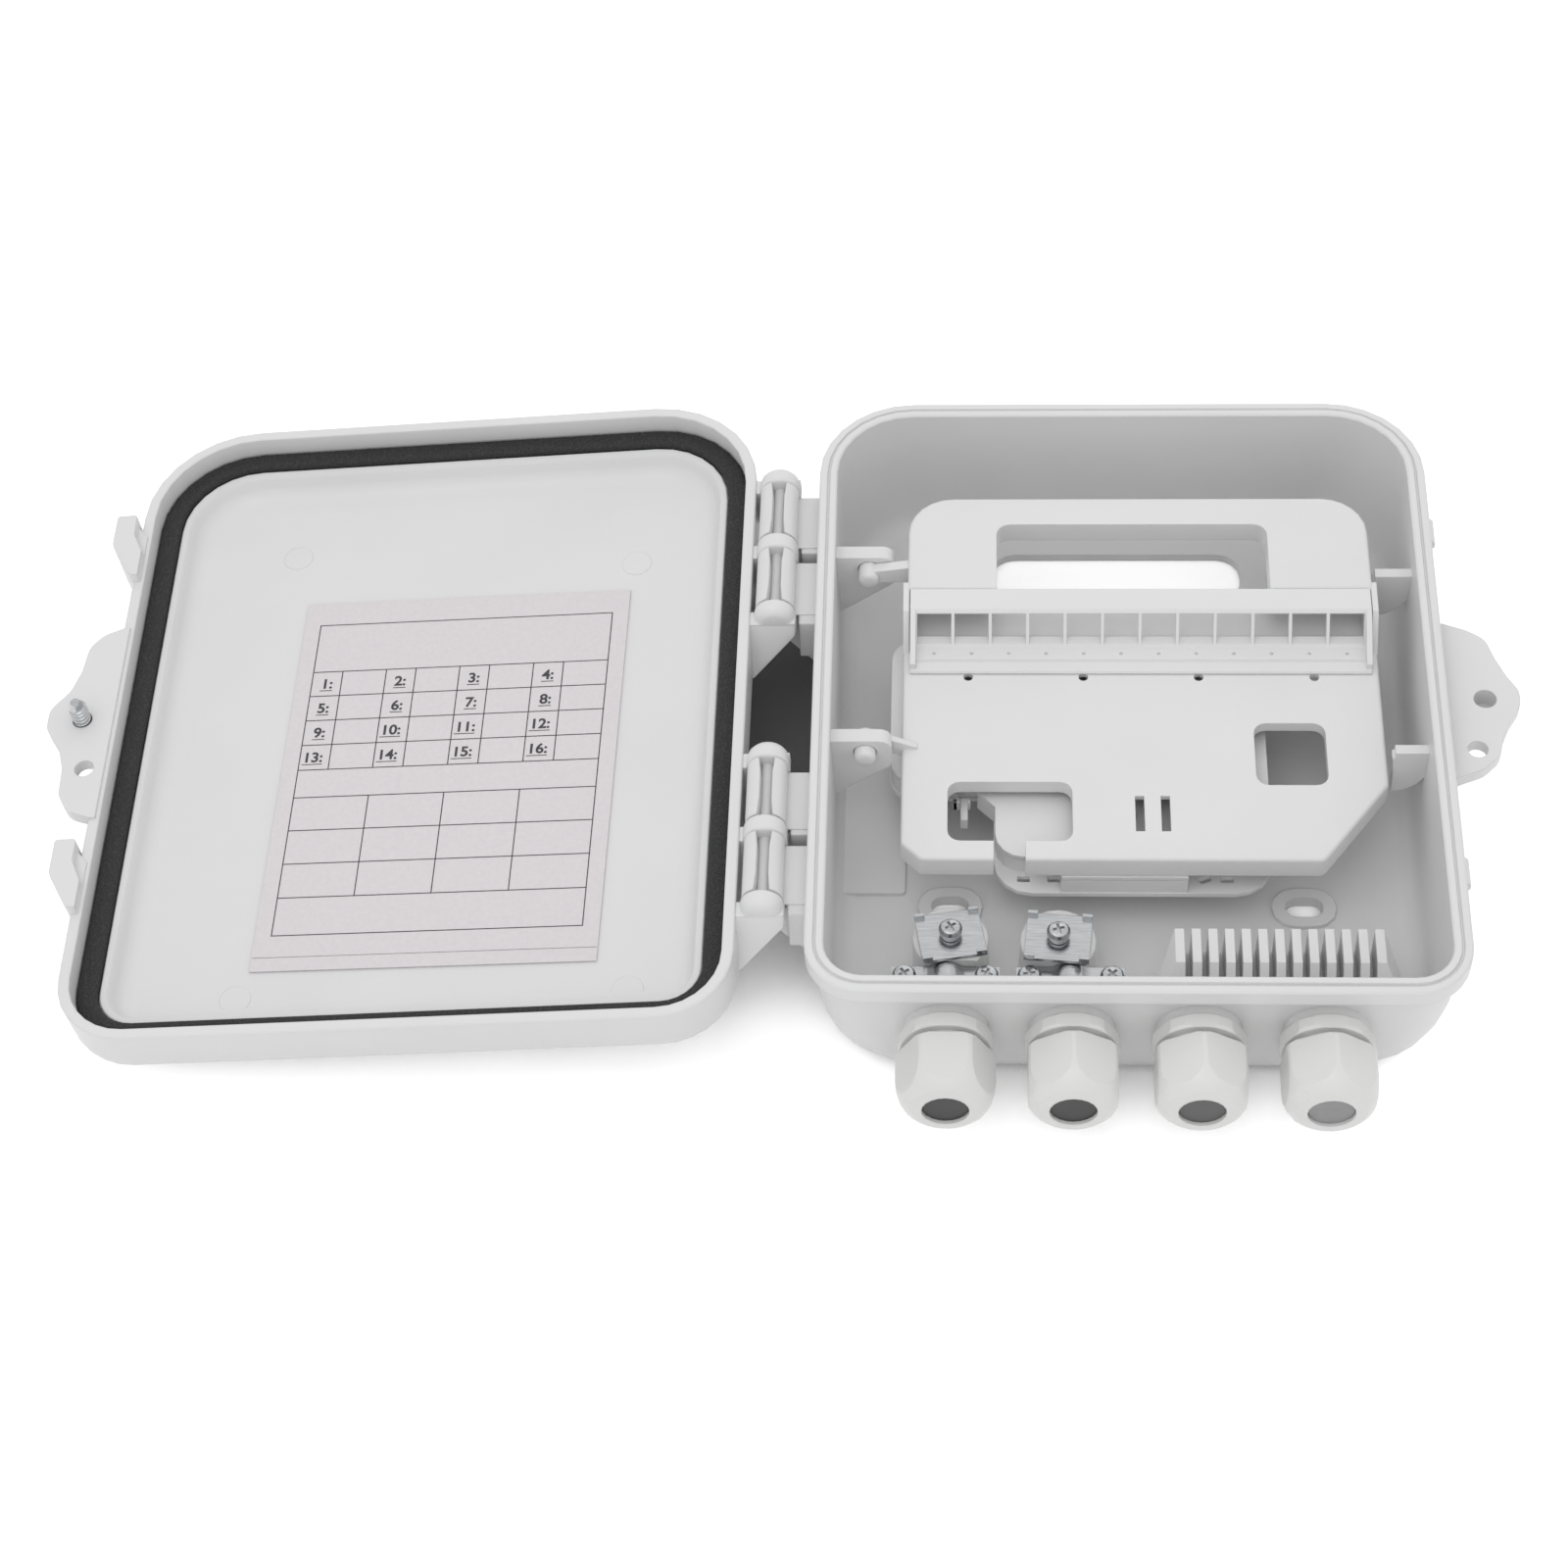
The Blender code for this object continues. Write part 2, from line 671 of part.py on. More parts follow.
def tray_bracket(place):
    """A wall plate with a round end, drilled for a pin of the tray."""
    x, z = TRAY_PIN_PLACE
    top = z + 5.5
    wall = -WALL_INSIDE - 0.8
    outline = rounded(
        [
            (wall, top - BRACKET_DROP - 5.0),
            (x + BRACKET_END_RADIUS, z - 7.0),
            (x + BRACKET_END_RADIUS, top),
            (wall, top),
        ],
        [0.0, 4.0, 4.0, 0.0],
    )
    return prism(outline, place - BRACKET_THICKNESS / 2, place + BRACKET_THICKNESS / 2, "Y")


def snap_rib(place, edge):
    """A finger that leaves the wall at its top and ends in a quarter round beside the tray's edge."""
    reach = edge + SNAP_RIB_STAND_OFF
    wall = WALL_INSIDE + 0.8
    bottom = SNAP_RIB_TOP - SNAP_RIB_DROP
    root = SNAP_RIB_TOP - SNAP_RIB_ROOT
    outline = [(wall, SNAP_RIB_TOP), (reach, SNAP_RIB_TOP)]
    for angle in (90.0, 67.5, 45.0, 22.5, 0.0):
        turn = math.radians(angle)
        outline.append((reach + (wall - reach) * math.cos(turn), root - (root - bottom) * math.sin(turn)))
    half = SNAP_RIB_THICKNESS / 2
    plate = prism(outline, place - half, place + half, "Y")
    nub = prism(circle((reach, SNAP_RIB_TOP - 3.0), SNAP_NUB_RADIUS, 12), place - half, place + half, "Y")
    return joined(plate, [nub])


def ear_plate(root, edge, low):
    """A flat ear between the wall at the root and its waved edge."""
    waves = [(RIM_HALF_WIDTH + out, along) for out, along in reversed(edge)]
    corners = [(root, edge[-1][1]), *waves, (root, edge[0][1])]
    inner = len(corners) - 4
    radii = [0.0, 0.0] + [EAR_EDGE_RADIUS] * inner + [0.0, 0.0]
    return prism(rounded(corners, radii, 3), low, low + EAR_THICKNESS)


def base_ear():
    """The ear that takes the lock screw, with a boss under its socket."""
    plate = ear_plate(WALL_OUTSIDE - 1.2, BASE_EAR_EDGE, BASE_EAR_TOP - EAR_THICKNESS)
    socket_floor = LID_EAR_BOTTOM - LOCK_SCREW_REACH - LOCK_SCREW_PLAY
    boss = turned(
        [(LOCK_SCREW_RADIUS + 3.2, socket_floor - 2.5), (LOCK_SCREW_RADIUS + 3.6, BASE_EAR_TOP - 1.0)],
        20,
        (LOCK_X, 0.0, 0.0),
    )
    return joined(plate, [boss])


def base_ear_cutters():
    socket_floor = LID_EAR_BOTTOM - LOCK_SCREW_REACH - LOCK_SCREW_PLAY
    socket = prism(circle((LOCK_X, 0.0), LOCK_SCREW_RADIUS + LOCK_SCREW_PLAY, 20), socket_floor, BASE_DEPTH)
    place = (RIM_HALF_WIDTH + SEAL_HOLE_PLACES[0], -SEAL_HOLE_SPACING)
    seal = prism(circle(place, SEAL_HOLE_RADIUS, 16), BASE_EAR_TOP - EAR_THICKNESS - 1.0, BASE_EAR_TOP + 1.0)
    return [socket, seal]


def catch(place):
    """A ramped bump under the flange edge, for a snap hook of the lid."""
    half = CATCH_LENGTH / 2
    edge = RIM_HALF_WIDTH + CATCH_REACH
    profile = [
        (WALL_OUTSIDE - 0.8, FLANGE_BOTTOM - 5.0),
        (edge - 1.0, FLANGE_BOTTOM - 5.0),
        (edge, FLANGE_BOTTOM - 4.0),
        (edge, FLANGE_BOTTOM - 2.0),
        (RIM_HALF_WIDTH - 0.6, FLANGE_BOTTOM + 0.9),
        (WALL_OUTSIDE - 0.8, FLANGE_BOTTOM + 0.9),
    ]
    return prism(profile, place - half, place + half, "Y")


def gland_pad(place):
    """The flat round seats on both faces of the sloping wall for one gland."""
    centre = (place, 0.0, GLAND_HEIGHT)
    return turned([(GLAND_PAD_RADIUS, GLAND_SEAT), (GLAND_PAD_RADIUS, GLAND_INNER_SEAT)], 24, centre, "Y")


def gland_hole(place):
    centre = (place, 0.0, GLAND_HEIGHT)
    radius = GLAND_THREAD_RADIUS + CLEARANCE
    return turned([(radius, GLAND_SEAT - 2.0), (radius, GLAND_THREAD_END)], 18, centre, "Y")


def mounting_ring(side):
    outline = slot_outline(
        (side * MOUNTING_SLOT_PLACE[0], MOUNTING_SLOT_PLACE[1]), MOUNTING_RING_LENGTH, MOUNTING_RING_WIDTH
    )
    return prism(outline, FLOOR_THICKNESS - 1.0, FLOOR_THICKNESS + MOUNTING_RING_HEIGHT)


def mounting_slot(side):
    outline = slot_outline(
        (side * MOUNTING_SLOT_PLACE[0], MOUNTING_SLOT_PLACE[1]), MOUNTING_SLOT_LENGTH, MOUNTING_SLOT_WIDTH
    )
    return prism(outline, -1.0, FLOOR_THICKNESS + MOUNTING_RING_HEIGHT + 1.0)


def floor_pad():
    """The shallow step in the floor along the hinge wall."""
    outline = rectangle(
        (-WALL_INSIDE + FLOOR_PAD_WIDTH / 2, FLOOR_PAD_END + FLOOR_PAD_LENGTH / 2),
        (FLOOR_PAD_WIDTH, FLOOR_PAD_LENGTH),
        1.5,
        2,
    )
    return prism(outline, FLOOR_THICKNESS - 1.0, FLOOR_THICKNESS + FLOOR_PAD_HEIGHT)


def clamp_post(place):
    """The round post that carries a clamp plate, flat beside the saddle, and the drilling for its screw."""
    x, y = place[:2]
    top = CLAMP_PLATE_BOTTOM - CLEARANCE
    radius = CLAMP_POST_RADIUS
    profile = [(radius - 0.6, top), (radius, top - 0.6), (radius + 0.4, FLOOR_THICKNESS - 1.0)]
    near_side = SADDLE_ROW + SADDLE_WIDTH / 2 + CLEARANCE
    room = box((x - 20.0, y - 20.0, 0.0), (x + 20.0, near_side, top + 1.0))
    solid = cut(turned(profile, 24, (x, y, 0.0)), [room])
    drilling = circle((x, y), CLAMP_SCREW_RADIUS + CLEARANCE, 12)
    return solid, prism(drilling, FLOOR_THICKNESS + 2.0, top + 1.0)


def saddle_bosses():
    """The four small bosses that the saddle screws go into, each with its drilling."""
    bosses = []
    drillings = []
    top = SADDLE_FOOT_TOP - CLAMP_SHEET - CLEARANCE
    for x, y in saddle_screw_places():
        profile = [(SADDLE_BOSS_RADIUS, FLOOR_THICKNESS - 1.0), (SADDLE_BOSS_RADIUS, top)]
        bosses.append(turned(profile, 16, (x, y, 0.0)))
        drilling = circle((x, y), SADDLE_SCREW_RADIUS + CLEARANCE, 12)
        drillings.append(prism(drilling, FLOOR_THICKNESS + 2.0, top + 1.0))
    return bosses, drillings


def saddle_screw_places():
    half = SADDLE_SCREW_SPACING / 2
    return [(x + side * half, SADDLE_ROW) for x in SADDLE_PLACES for side in (-1, 1)]


def build_base():
    """The whole base moulding."""
    additions = [hinge_clip(span) for span in hinge_clip_spans()]
    additions += [tray_bracket(place) for place in BRACKET_PLACES]
    additions.append(snap_rib(SNAP_RIB_PLACES[0], TRAY_RIGHT - HANDLE_INSET))
    additions.append(snap_rib(SNAP_RIB_PLACES[1], TRAY_RIGHT))
    additions += [base_ear(), catch(CATCH_PLACE), catch(-CATCH_PLACE), floor_pad()]
    additions += [gland_pad(place) for place in GLAND_PLACES]
    additions += [mounting_ring(side) for side in (-1, 1)]
    removals = base_ear_cutters()
    for span in hinge_clip_spans():
        removals += clip_cutters(span)
    for place in CLAMP_PLACES:
        post, drilling = clamp_post(place)
        additions.append(post)
        removals.append(drilling)
    bosses, drillings = saddle_bosses()
    additions += bosses
    removals += drillings
    removals += [gland_hole(place) for place in GLAND_PLACES]
    removals += [mounting_slot(side) for side in (-1, 1)]
    for place in BRACKET_PLACES:
        low = place - BRACKET_THICKNESS
        pin_hole = circle(TRAY_PIN_PLACE, TRAY_PIN_RADIUS + CLEARANCE, 20)
        removals.append(prism(pin_hole, low, place + BRACKET_THICKNESS, "Y"))
    rear = rectangle((0.0, REAR_SLOT_PLACE), (REAR_SLOT_LENGTH, REAR_SLOT_WIDTH), REAR_SLOT_RADIUS)
    removals.append(prism(rear, -1.0, FLOOR_THICKNESS + 1.0))
    add_part("base_shell", cut(joined(base_bowl(), additions), removals), "white_plastic")


# Cable comb

def build_comb():
    """A raised block that flares at its front, with one slot between each two fingers."""
    span = COMB_PITCH * (COMB_FINGERS - 1) + COMB_FINGER_WIDTH
    left = COMB_FIRST_FINGER
    right = left + span
    foot = FLOOR_THICKNESS + CLEARANCE
    outline = [
        (left - COMB_FLARE, COMB_FRONT),
        (right + COMB_FLARE, COMB_FRONT),
        (right, COMB_BACK),
        (left, COMB_BACK),
    ]
    block = prism(outline, foot, COMB_TOP)
    above = COMB_TOP + 0.1
    front = COMB_FRONT - 1.0
    wedge = [(front, COMB_TOP - COMB_CHAMFER), (front + COMB_CHAMFER, above), (front, above)]
    chamfer = prism(wedge, left - COMB_FLARE - 1.0, right + COMB_FLARE + 1.0, "X")
    cuts = [chamfer]
    for finger in range(COMB_FINGERS - 1):
        start = left + finger * COMB_PITCH + COMB_FINGER_WIDTH
        end = left + (finger + 1) * COMB_PITCH
        cuts.append(box((start, COMB_FRONT - 2.0, COMB_ROOT), (end, COMB_BACK + 2.0, COMB_TOP + 1.0)))
    for side, edge in ((-1, left), (1, right)):
        outside = edge + side * (COMB_FLARE + 1.0)
        slope = [(edge, above), (outside, above), (outside, COMB_ROOT)]
        cuts.append(prism(slope, front, COMB_BACK + 1.0, "Y"))
    add_part("cable_comb", cut(block, cuts), "inner_plastic")


# Adapter tray

def lower_plate_outline():
    cut_x, cut_y = TRAY_CUT_CORNER
    small = TRAY_SMALL_CORNER
    return rounded(
        [
            (TRAY_LEFT + small, TRAY_FRONT),
            (TRAY_RIGHT - cut_x, TRAY_FRONT),
            (TRAY_RIGHT, TRAY_FRONT + cut_y),
            (TRAY_RIGHT, TRAY_STEP + 3.0),
            (TRAY_LEFT, TRAY_STEP + 3.0),
            (TRAY_LEFT, TRAY_FRONT + small),
        ],
        [2.5, 3.0, 3.0, 0.0, 0.0, 2.5],
        3,
    )


def hanging_posts():
    """The four posts under the plate that the splice tray hangs from."""
    posts = []
    for place in HANGING_POSTS:
        outline = circle(place, HANGING_POST_RADIUS, 14)
        posts.append(prism(outline, SPLICE_COVER_TOP + CLEARANCE, TRAY_TOP - TRAY_SHEET + 0.5))
    return posts


def lower_plate():
    """The cable plate: a sheet with a skirt, its holes, and a gate at the front for fibres."""
    outline = lower_plate_outline()
    bottom = TRAY_TOP - TRAY_SKIRT
    plate = soft_prism(outline, bottom, TRAY_TOP, TRAY_EDGE_FILLET)
    pocket = prism(inset(outline, TRAY_SHEET), bottom - 1.0, TRAY_TOP - TRAY_SHEET)
    window = rectangle(WINDOW_HOLE_PLACE, WINDOW_HOLE_SIZE, WINDOW_HOLE_RADIUS)
    gate = rectangle(FIBRE_GATE_PLACE, FIBRE_GATE_SIZE, FIBRE_GATE_RADIUS)
    collars = [
        prism(inset(window, -TRAY_SHEET * 0.8), TRAY_TOP - 4.0, TRAY_TOP - 0.5),
        prism(inset(gate, -TRAY_SHEET * 0.8), TRAY_TOP - 5.5, TRAY_TOP - 0.5),
    ]
    mouth_left, mouth_right = FIBRE_GATE_MOUTH
    cuts = [
        prism(window, bottom - 1.0, TRAY_TOP + 1.0),
        prism(gate, bottom - 1.0, TRAY_TOP + 1.0),
        box((mouth_left, TRAY_FRONT - 1.0, bottom - 1.0), (mouth_right, FIBRE_GATE_PLACE[1], TRAY_TOP + 1.0)),
    ]
    for index in range(4):
        place = (PLATE_HOLE_FIRST + index * PLATE_HOLE_PITCH, PLATE_HOLE_ROW)
        cuts.append(prism(circle(place, PLATE_HOLE_RADIUS, 12), bottom, TRAY_TOP + 1.0))
    for x in TIE_SLOT_PLACES:
        cuts.append(prism(rectangle((x, TIE_SLOT_ROW), TIE_SLOT_SIZE), bottom, TRAY_TOP + 1.0))
    return joined(cut(plate, [pocket]), collars + hanging_posts()), cuts


def handle_level():
    """The raised handle: a sheet with a skirt, and a finger slot that is open towards the rack."""
    left = TRAY_LEFT + HANDLE_INSET
    right = TRAY_RIGHT - HANDLE_INSET
    front = TRAY_STEP
    outline = rounded(
        [(left, front), (right, front), (right, TRAY_BACK), (left, TRAY_BACK)],
        [0.0, 0.0, HANDLE_RADIUS, HANDLE_RADIUS],
        6,
    )
    bottom = HANDLE_TOP - HANDLE_SKIRT
    plate = soft_prism(outline, bottom, HANDLE_TOP, TRAY_EDGE_FILLET)
    sheet = TRAY_SHEET
    inner = rounded(
        [
            (left + sheet, front - 5.0),
            (right - sheet, front - 5.0),
            (right - sheet, TRAY_BACK - sheet),
            (left + sheet, TRAY_BACK - sheet),
        ],
        [0.0, 0.0, HANDLE_RADIUS - sheet, HANDLE_RADIUS - sheet],
        6,
    )
    pocket = prism(inner, bottom - 1.0, HANDLE_TOP - sheet)
    slot_left, slot_right = HANDLE_SLOT_ENDS
    collar = rounded(
        [
            (slot_left - sheet, front),
            (slot_right + sheet, front),
            (slot_right + sheet, HANDLE_SLOT_BACK + sheet),
            (slot_left - sheet, HANDLE_SLOT_BACK + sheet),
        ],
        [0.0, 0.0, HANDLE_SLOT_RADIUS + sheet, HANDLE_SLOT_RADIUS + sheet],
    )
    slot = rounded(
        [
            (slot_left, front - 6.0),
            (slot_right, front - 6.0),
            (slot_right, HANDLE_SLOT_BACK),
            (slot_left, HANDLE_SLOT_BACK),
        ],
        [0.0, 0.0, HANDLE_SLOT_RADIUS, HANDLE_SLOT_RADIUS],
    )
    solid = joined(cut(plate, [pocket]), [prism(collar, bottom, HANDLE_TOP - 0.5)])
    return cut(solid, [prism(slot, bottom - 1.0, HANDLE_TOP + 1.0)])


def side_cheek(left):
    """The wall that carries the handle level from the cable plate, beside the rack."""
    profile = [
        (RACK_FLOOR_FRONT + 3.0, TRAY_TOP - TRAY_SHEET),
        (TRAY_STEP + 3.0, TRAY_TOP - TRAY_SHEET),
        (TRAY_STEP + 3.0, HANDLE_TOP - 0.6),
        (RACK_PANEL_FRONT, HANDLE_TOP - 0.6),
    ]
    return prism(profile, left, left + TRAY_SHEET, "X")


def tray_arm(low, high, radius, root_x, root_top):
    """An arm from the tray's edge to its pin."""
    x, z = TRAY_PIN_PLACE
    knuckle = prism(circle((x, z), radius, 18), low, high, "Y")
    bar = prism(
        [
            (x, z - radius + 0.2),
            (root_x, root_top - TRAY_SKIRT + 1.5),
            (root_x, root_top),
            (x, z + radius - 0.2),
        ],
        low,
        high,
        "Y",
    )
    return joined(knuckle, [bar])


def tray_pin(low, high):
    """A pin along Y with rounded ends."""
    centre = (TRAY_PIN_PLACE[0], 0.0, TRAY_PIN_PLACE[1])
    ends = [(TRAY_PIN_RADIUS - 1.4, 0.0), (TRAY_PIN_RADIUS - 0.5, 0.4), (TRAY_PIN_RADIUS, 1.2)]
    profile = [(radius, low + place) for radius, place in ends]
    profile += [(radius, high - place) for radius, place in reversed(ends)]
    return turned(profile, 20, centre, "Y")


def tray_arms():
    upper_face = BRACKET_PLACES[0] - BRACKET_THICKNESS / 2 - CLEARANCE
    lower_face = BRACKET_PLACES[1] + BRACKET_THICKNESS / 2 + CLEARANCE
    beyond = BRACKET_THICKNESS + 2.0
    left = TRAY_LEFT + HANDLE_INSET
    return [
        tray_arm(upper_face - UPPER_ARM[0], upper_face, UPPER_ARM[1], left + 1.0, HANDLE_TOP - 1.5),
        tray_pin(upper_face - UPPER_ARM[0] - 2.2, upper_face + beyond),
        tray_arm(lower_face, lower_face + LOWER_ARM[0], LOWER_ARM[1], TRAY_LEFT + 5.0, TRAY_TOP + 0.6),
        tray_pin(lower_face - beyond - 2.0, lower_face + LOWER_ARM[0]),
    ]


def build_tray():
    plate, cuts = lower_plate()
    cheeks = [side_cheek(TRAY_LEFT), side_cheek(TRAY_RIGHT - TRAY_SHEET)]
    solid = cut(joined(plate, [handle_level()] + cheeks + tray_arms()), cuts)
    add_part("adapter_tray", solid, "inner_plastic", "tray_axis")


# Adapter rack

def rack_profile():
    """Side view, in Y and Z: front lip, floor strip, sloping window panel and top band."""
    foot = TRAY_TOP + CLEARANCE
    floor = foot + RACK_FLOOR_HEIGHT
    lip = foot + RACK_LIP_HEIGHT
    front = RACK_FLOOR_FRONT - RACK_LIP_WIDTH
    top = HANDLE_TOP
    return [
        (front, foot),
        (RACK_PANEL_FOOT + RACK_PANEL_THICKNESS, foot),
        (RACK_PANEL_FRONT + RACK_PANEL_THICKNESS, top - TRAY_SHEET),
        (RACK_BACK, top - TRAY_SHEET),
        (RACK_BACK, top),
        (RACK_PANEL_FRONT + 0.4, top),
        (RACK_PANEL_FRONT - 0.2, top - 0.5),
        (RACK_PANEL_FOOT, floor),
        (RACK_FLOOR_FRONT, floor),
        (RACK_FLOOR_FRONT - 0.4, lip + 0.4),
        (front + 0.5, lip),
    ]


def build_rack():
    """The rack of adapter windows, with an end plate on each side."""
    foot = TRAY_TOP + CLEARANCE
    left = RACK_LEFT
    right = RACK_RIGHT
    bar = prism(rack_profile(), left, right, "X")
    plate_profile = [
        (RACK_FLOOR_FRONT - 3.0, foot + 0.2),
        (RACK_BACK - 1.0, foot + 0.2),
        (RACK_BACK - 1.0, HANDLE_TOP - 0.2),
        (RACK_PANEL_FRONT - 0.6, HANDLE_TOP - 0.2),
        (RACK_FLOOR_FRONT - 3.0, foot + RACK_FLOOR_HEIGHT + 1.0),
    ]
    ends = [
        prism(plate_profile, left, left + RACK_END_WIDTH, "X"),
        prism(plate_profile, right - RACK_END_WIDTH, right, "X"),
    ]
    row = WINDOW_COUNT * WINDOW_PITCH
    start = (left + right - row) / 2
    low = foot + RACK_FLOOR_HEIGHT + 0.6
    high = HANDLE_TOP - RACK_BAND_THICKNESS
    far = RACK_BACK - RACK_PANEL_THICKNESS
    cuts = []
    for window in range(WINDOW_COUNT):
        x = start + window * WINDOW_PITCH + WINDOW_DIVIDER / 2
        width = WINDOW_PITCH - WINDOW_DIVIDER
        cuts.append(box((x, RACK_FLOOR_FRONT, low), (x + width, far, high)))
        dot = circle((x + width / 2, RACK_FLOOR_FRONT + 2.4), RACK_DOT[0], 8)
        cuts.append(prism(dot, foot + RACK_FLOOR_HEIGHT - RACK_DOT[1], foot + RACK_FLOOR_HEIGHT + 0.3))
    add_part("adapter_rack", cut(joined(bar, ends), cuts), "inner_plastic", "tray_axis")


# Splice tray

def splice_outline(grow=0.0):
    step_x, step_y = SPLICE_STEP
    corners = [
        (step_x - grow, SPLICE_FRONT - grow),
        (SPLICE_RIGHT + grow, SPLICE_FRONT - grow),
        (SPLICE_RIGHT + grow, SPLICE_BACK + grow),
        (SPLICE_LEFT - grow, SPLICE_BACK + grow),
        (SPLICE_LEFT - grow, step_y - grow),
        (step_x - grow, step_y - grow),
    ]
    return rounded(corners, [radius + grow for radius in SPLICE_CORNER_RADII])


def wall_outline(grow=0.0):
    """The line of the fibre wall, set back from the floor's edge at the two front corners."""
    step_x, step_y = SPLICE_STEP
    left, right = SPLICE_FRONT_WALL
    width, far_end, near_end = SPLICE_CUT_CORNER
    back_off = SPLICE_FRONT + SPLICE_SET_BACK
    corners = [
        (step_x - grow, back_off - grow),
        (left - grow, back_off - grow),
        (left - grow, SPLICE_FRONT - grow),
        (right + grow, SPLICE_FRONT - grow),
        (right + grow, back_off - grow),
        (SPLICE_RIGHT + grow, back_off - grow),
        (SPLICE_RIGHT + grow, SPLICE_BACK + grow),
        (SPLICE_LEFT - grow, SPLICE_BACK + grow),
        (SPLICE_LEFT - grow, step_y - grow),
        (step_x - width - grow, step_y - grow),
        (step_x - width - grow, step_y - far_end - grow),
        (step_x - grow, step_y - near_end - grow),
    ]
    return rounded(corners, SPLICE_WALL_RADII)


def splice_spools(low, high):
    """The two rings that loose fibre is wound round."""
    inner = SPOOL_RADIUS - SPOOL_WALL
    ring = [(SPOOL_RADIUS, low), (SPOOL_RADIUS, high), (inner, high), (inner, low)]
    places = (SPLICE_LEFT + SPOOL_PLACES[0], SPLICE_RIGHT + SPOOL_PLACES[1])
    return [turned(ring, 28, (x, SPOOL_ROW, 0.0), hollow=True) for x in places]


def splice_holder(low, high):
    """The ribs that grip splice sleeves."""
    left, right = HOLDER_ENDS
    starts = [HOLDER_FIRST_RIB + index * HOLDER_PITCH for index in range(HOLDER_RIBS)]
    return [box((left, y, low), (right, y + HOLDER_RIB_WIDTH, high)) for y in starts]


def splice_tie_slots(low, high):
    """The slots for ties near the tray's front edge, one of them turned."""
    slots = []
    row = SPLICE_FRONT + SPLICE_TIE_SLOT_ROW
    for x, turn in SPLICE_TIE_SLOTS:
        slot = prism(rectangle((x, row), SPLICE_TIE_SLOT_SIZE), low, high)
        slots.append(turn_about_z(slot, turn, (x, row)))
    return slots


def build_splice_tray():
    """A floor with a fibre wall round it, two spools, a splice holder and slots for ties."""
    floor_top = SPLICE_FLOOR + SPLICE_SHEET
    wall_top = SPLICE_COVER_BOTTOM - CLEARANCE
    foot = floor_top - 0.5
    floor = prism(splice_outline(), SPLICE_FLOOR, floor_top)
    wall = prism(wall_outline(-SPLICE_WALL_INSET), foot, wall_top)
    hollow = prism(wall_outline(-SPLICE_WALL_INSET - SPLICE_WALL), floor_top - 1.0, wall_top + 1.0)
    inside = splice_spools(foot, wall_top - 1.0) + splice_holder(foot, wall_top - 1.5)
    slots = splice_tie_slots(SPLICE_FLOOR - 1.0, floor_top + 1.0)
    walls = cut(wall, [hollow])
    add_part("splice_tray", cut(joined(floor, [walls] + inside), slots), "inner_plastic", "tray_axis")


def build_splice_cover():
    lid = prism(wall_outline(-SPLICE_WALL_INSET), SPLICE_COVER_BOTTOM, SPLICE_COVER_TOP)
    add_part("splice_cover", lid, "inner_plastic", "tray_axis")


# Cable clamps

def screw_form(place, top, head, shank_radius, length, recess):
    """A pan-head screw along Z with a cross recess, its head's top at the height given."""
    radius, height = head
    x, y = place
    profile = [
        (shank_radius * 0.6, top - height - length),
        (shank_radius, top - height - length + 1.0),
        (shank_radius, top - height),
        (radius, top - height),
        (radius, top - height * 0.55),
        (radius * 0.8, top - height * 0.15),
        (radius * 0.45, top),
    ]
    long = radius * 0.5
    thin = radius * 0.12
    quarter = [(long, -thin), (long, thin), (thin, thin)]
    cross = []
    for turn in range(4):
        spin = Matrix.Rotation(math.radians(90.0 * turn), 2)
        cross += [tuple(Vector((x, y)) + spin @ Vector(point)) for point in quarter]
    return cut(turned(profile, 14, (x, y, 0.0)), [prism(cross, top - recess, top + 1.0)])


def clamp_plate(place):
    """A square plate with its corners bent up, drilled in its middle."""
    x, y, turn = place
    half_x, half_y = CLAMP_PLATE_SIZE[0] / 2, CLAMP_PLATE_SIZE[1] / 2
    sheet = prism(rectangle((x, y), CLAMP_PLATE_SIZE), CLAMP_PLATE_BOTTOM, CLAMP_PLATE_TOP)
    tabs = []
    for side_x in (-1, 1):
        for side_y in (-1, 1):
            end_x = x + side_x * half_x
            end_y = y + side_y * half_y
            low = (min(end_x, end_x - side_x * CLAMP_TAB_WIDTH), min(end_y, end_y - side_y * CLAMP_SHEET))
            high = (max(end_x, end_x - side_x * CLAMP_TAB_WIDTH), max(end_y, end_y - side_y * CLAMP_SHEET))
            tabs.append(box((*low, CLAMP_PLATE_TOP - 0.5), (*high, CLAMP_PLATE_TOP + CLAMP_TAB_HEIGHT)))
    hole = circle((x, y), CLAMP_SCREW_RADIUS + CLEARANCE, 14)
    drilling = prism(hole, CLAMP_PLATE_BOTTOM - 1.0, CLAMP_PLATE_TOP + 1.0)
    return turn_about_z(cut(joined(sheet, tabs), [drilling]), turn, place)


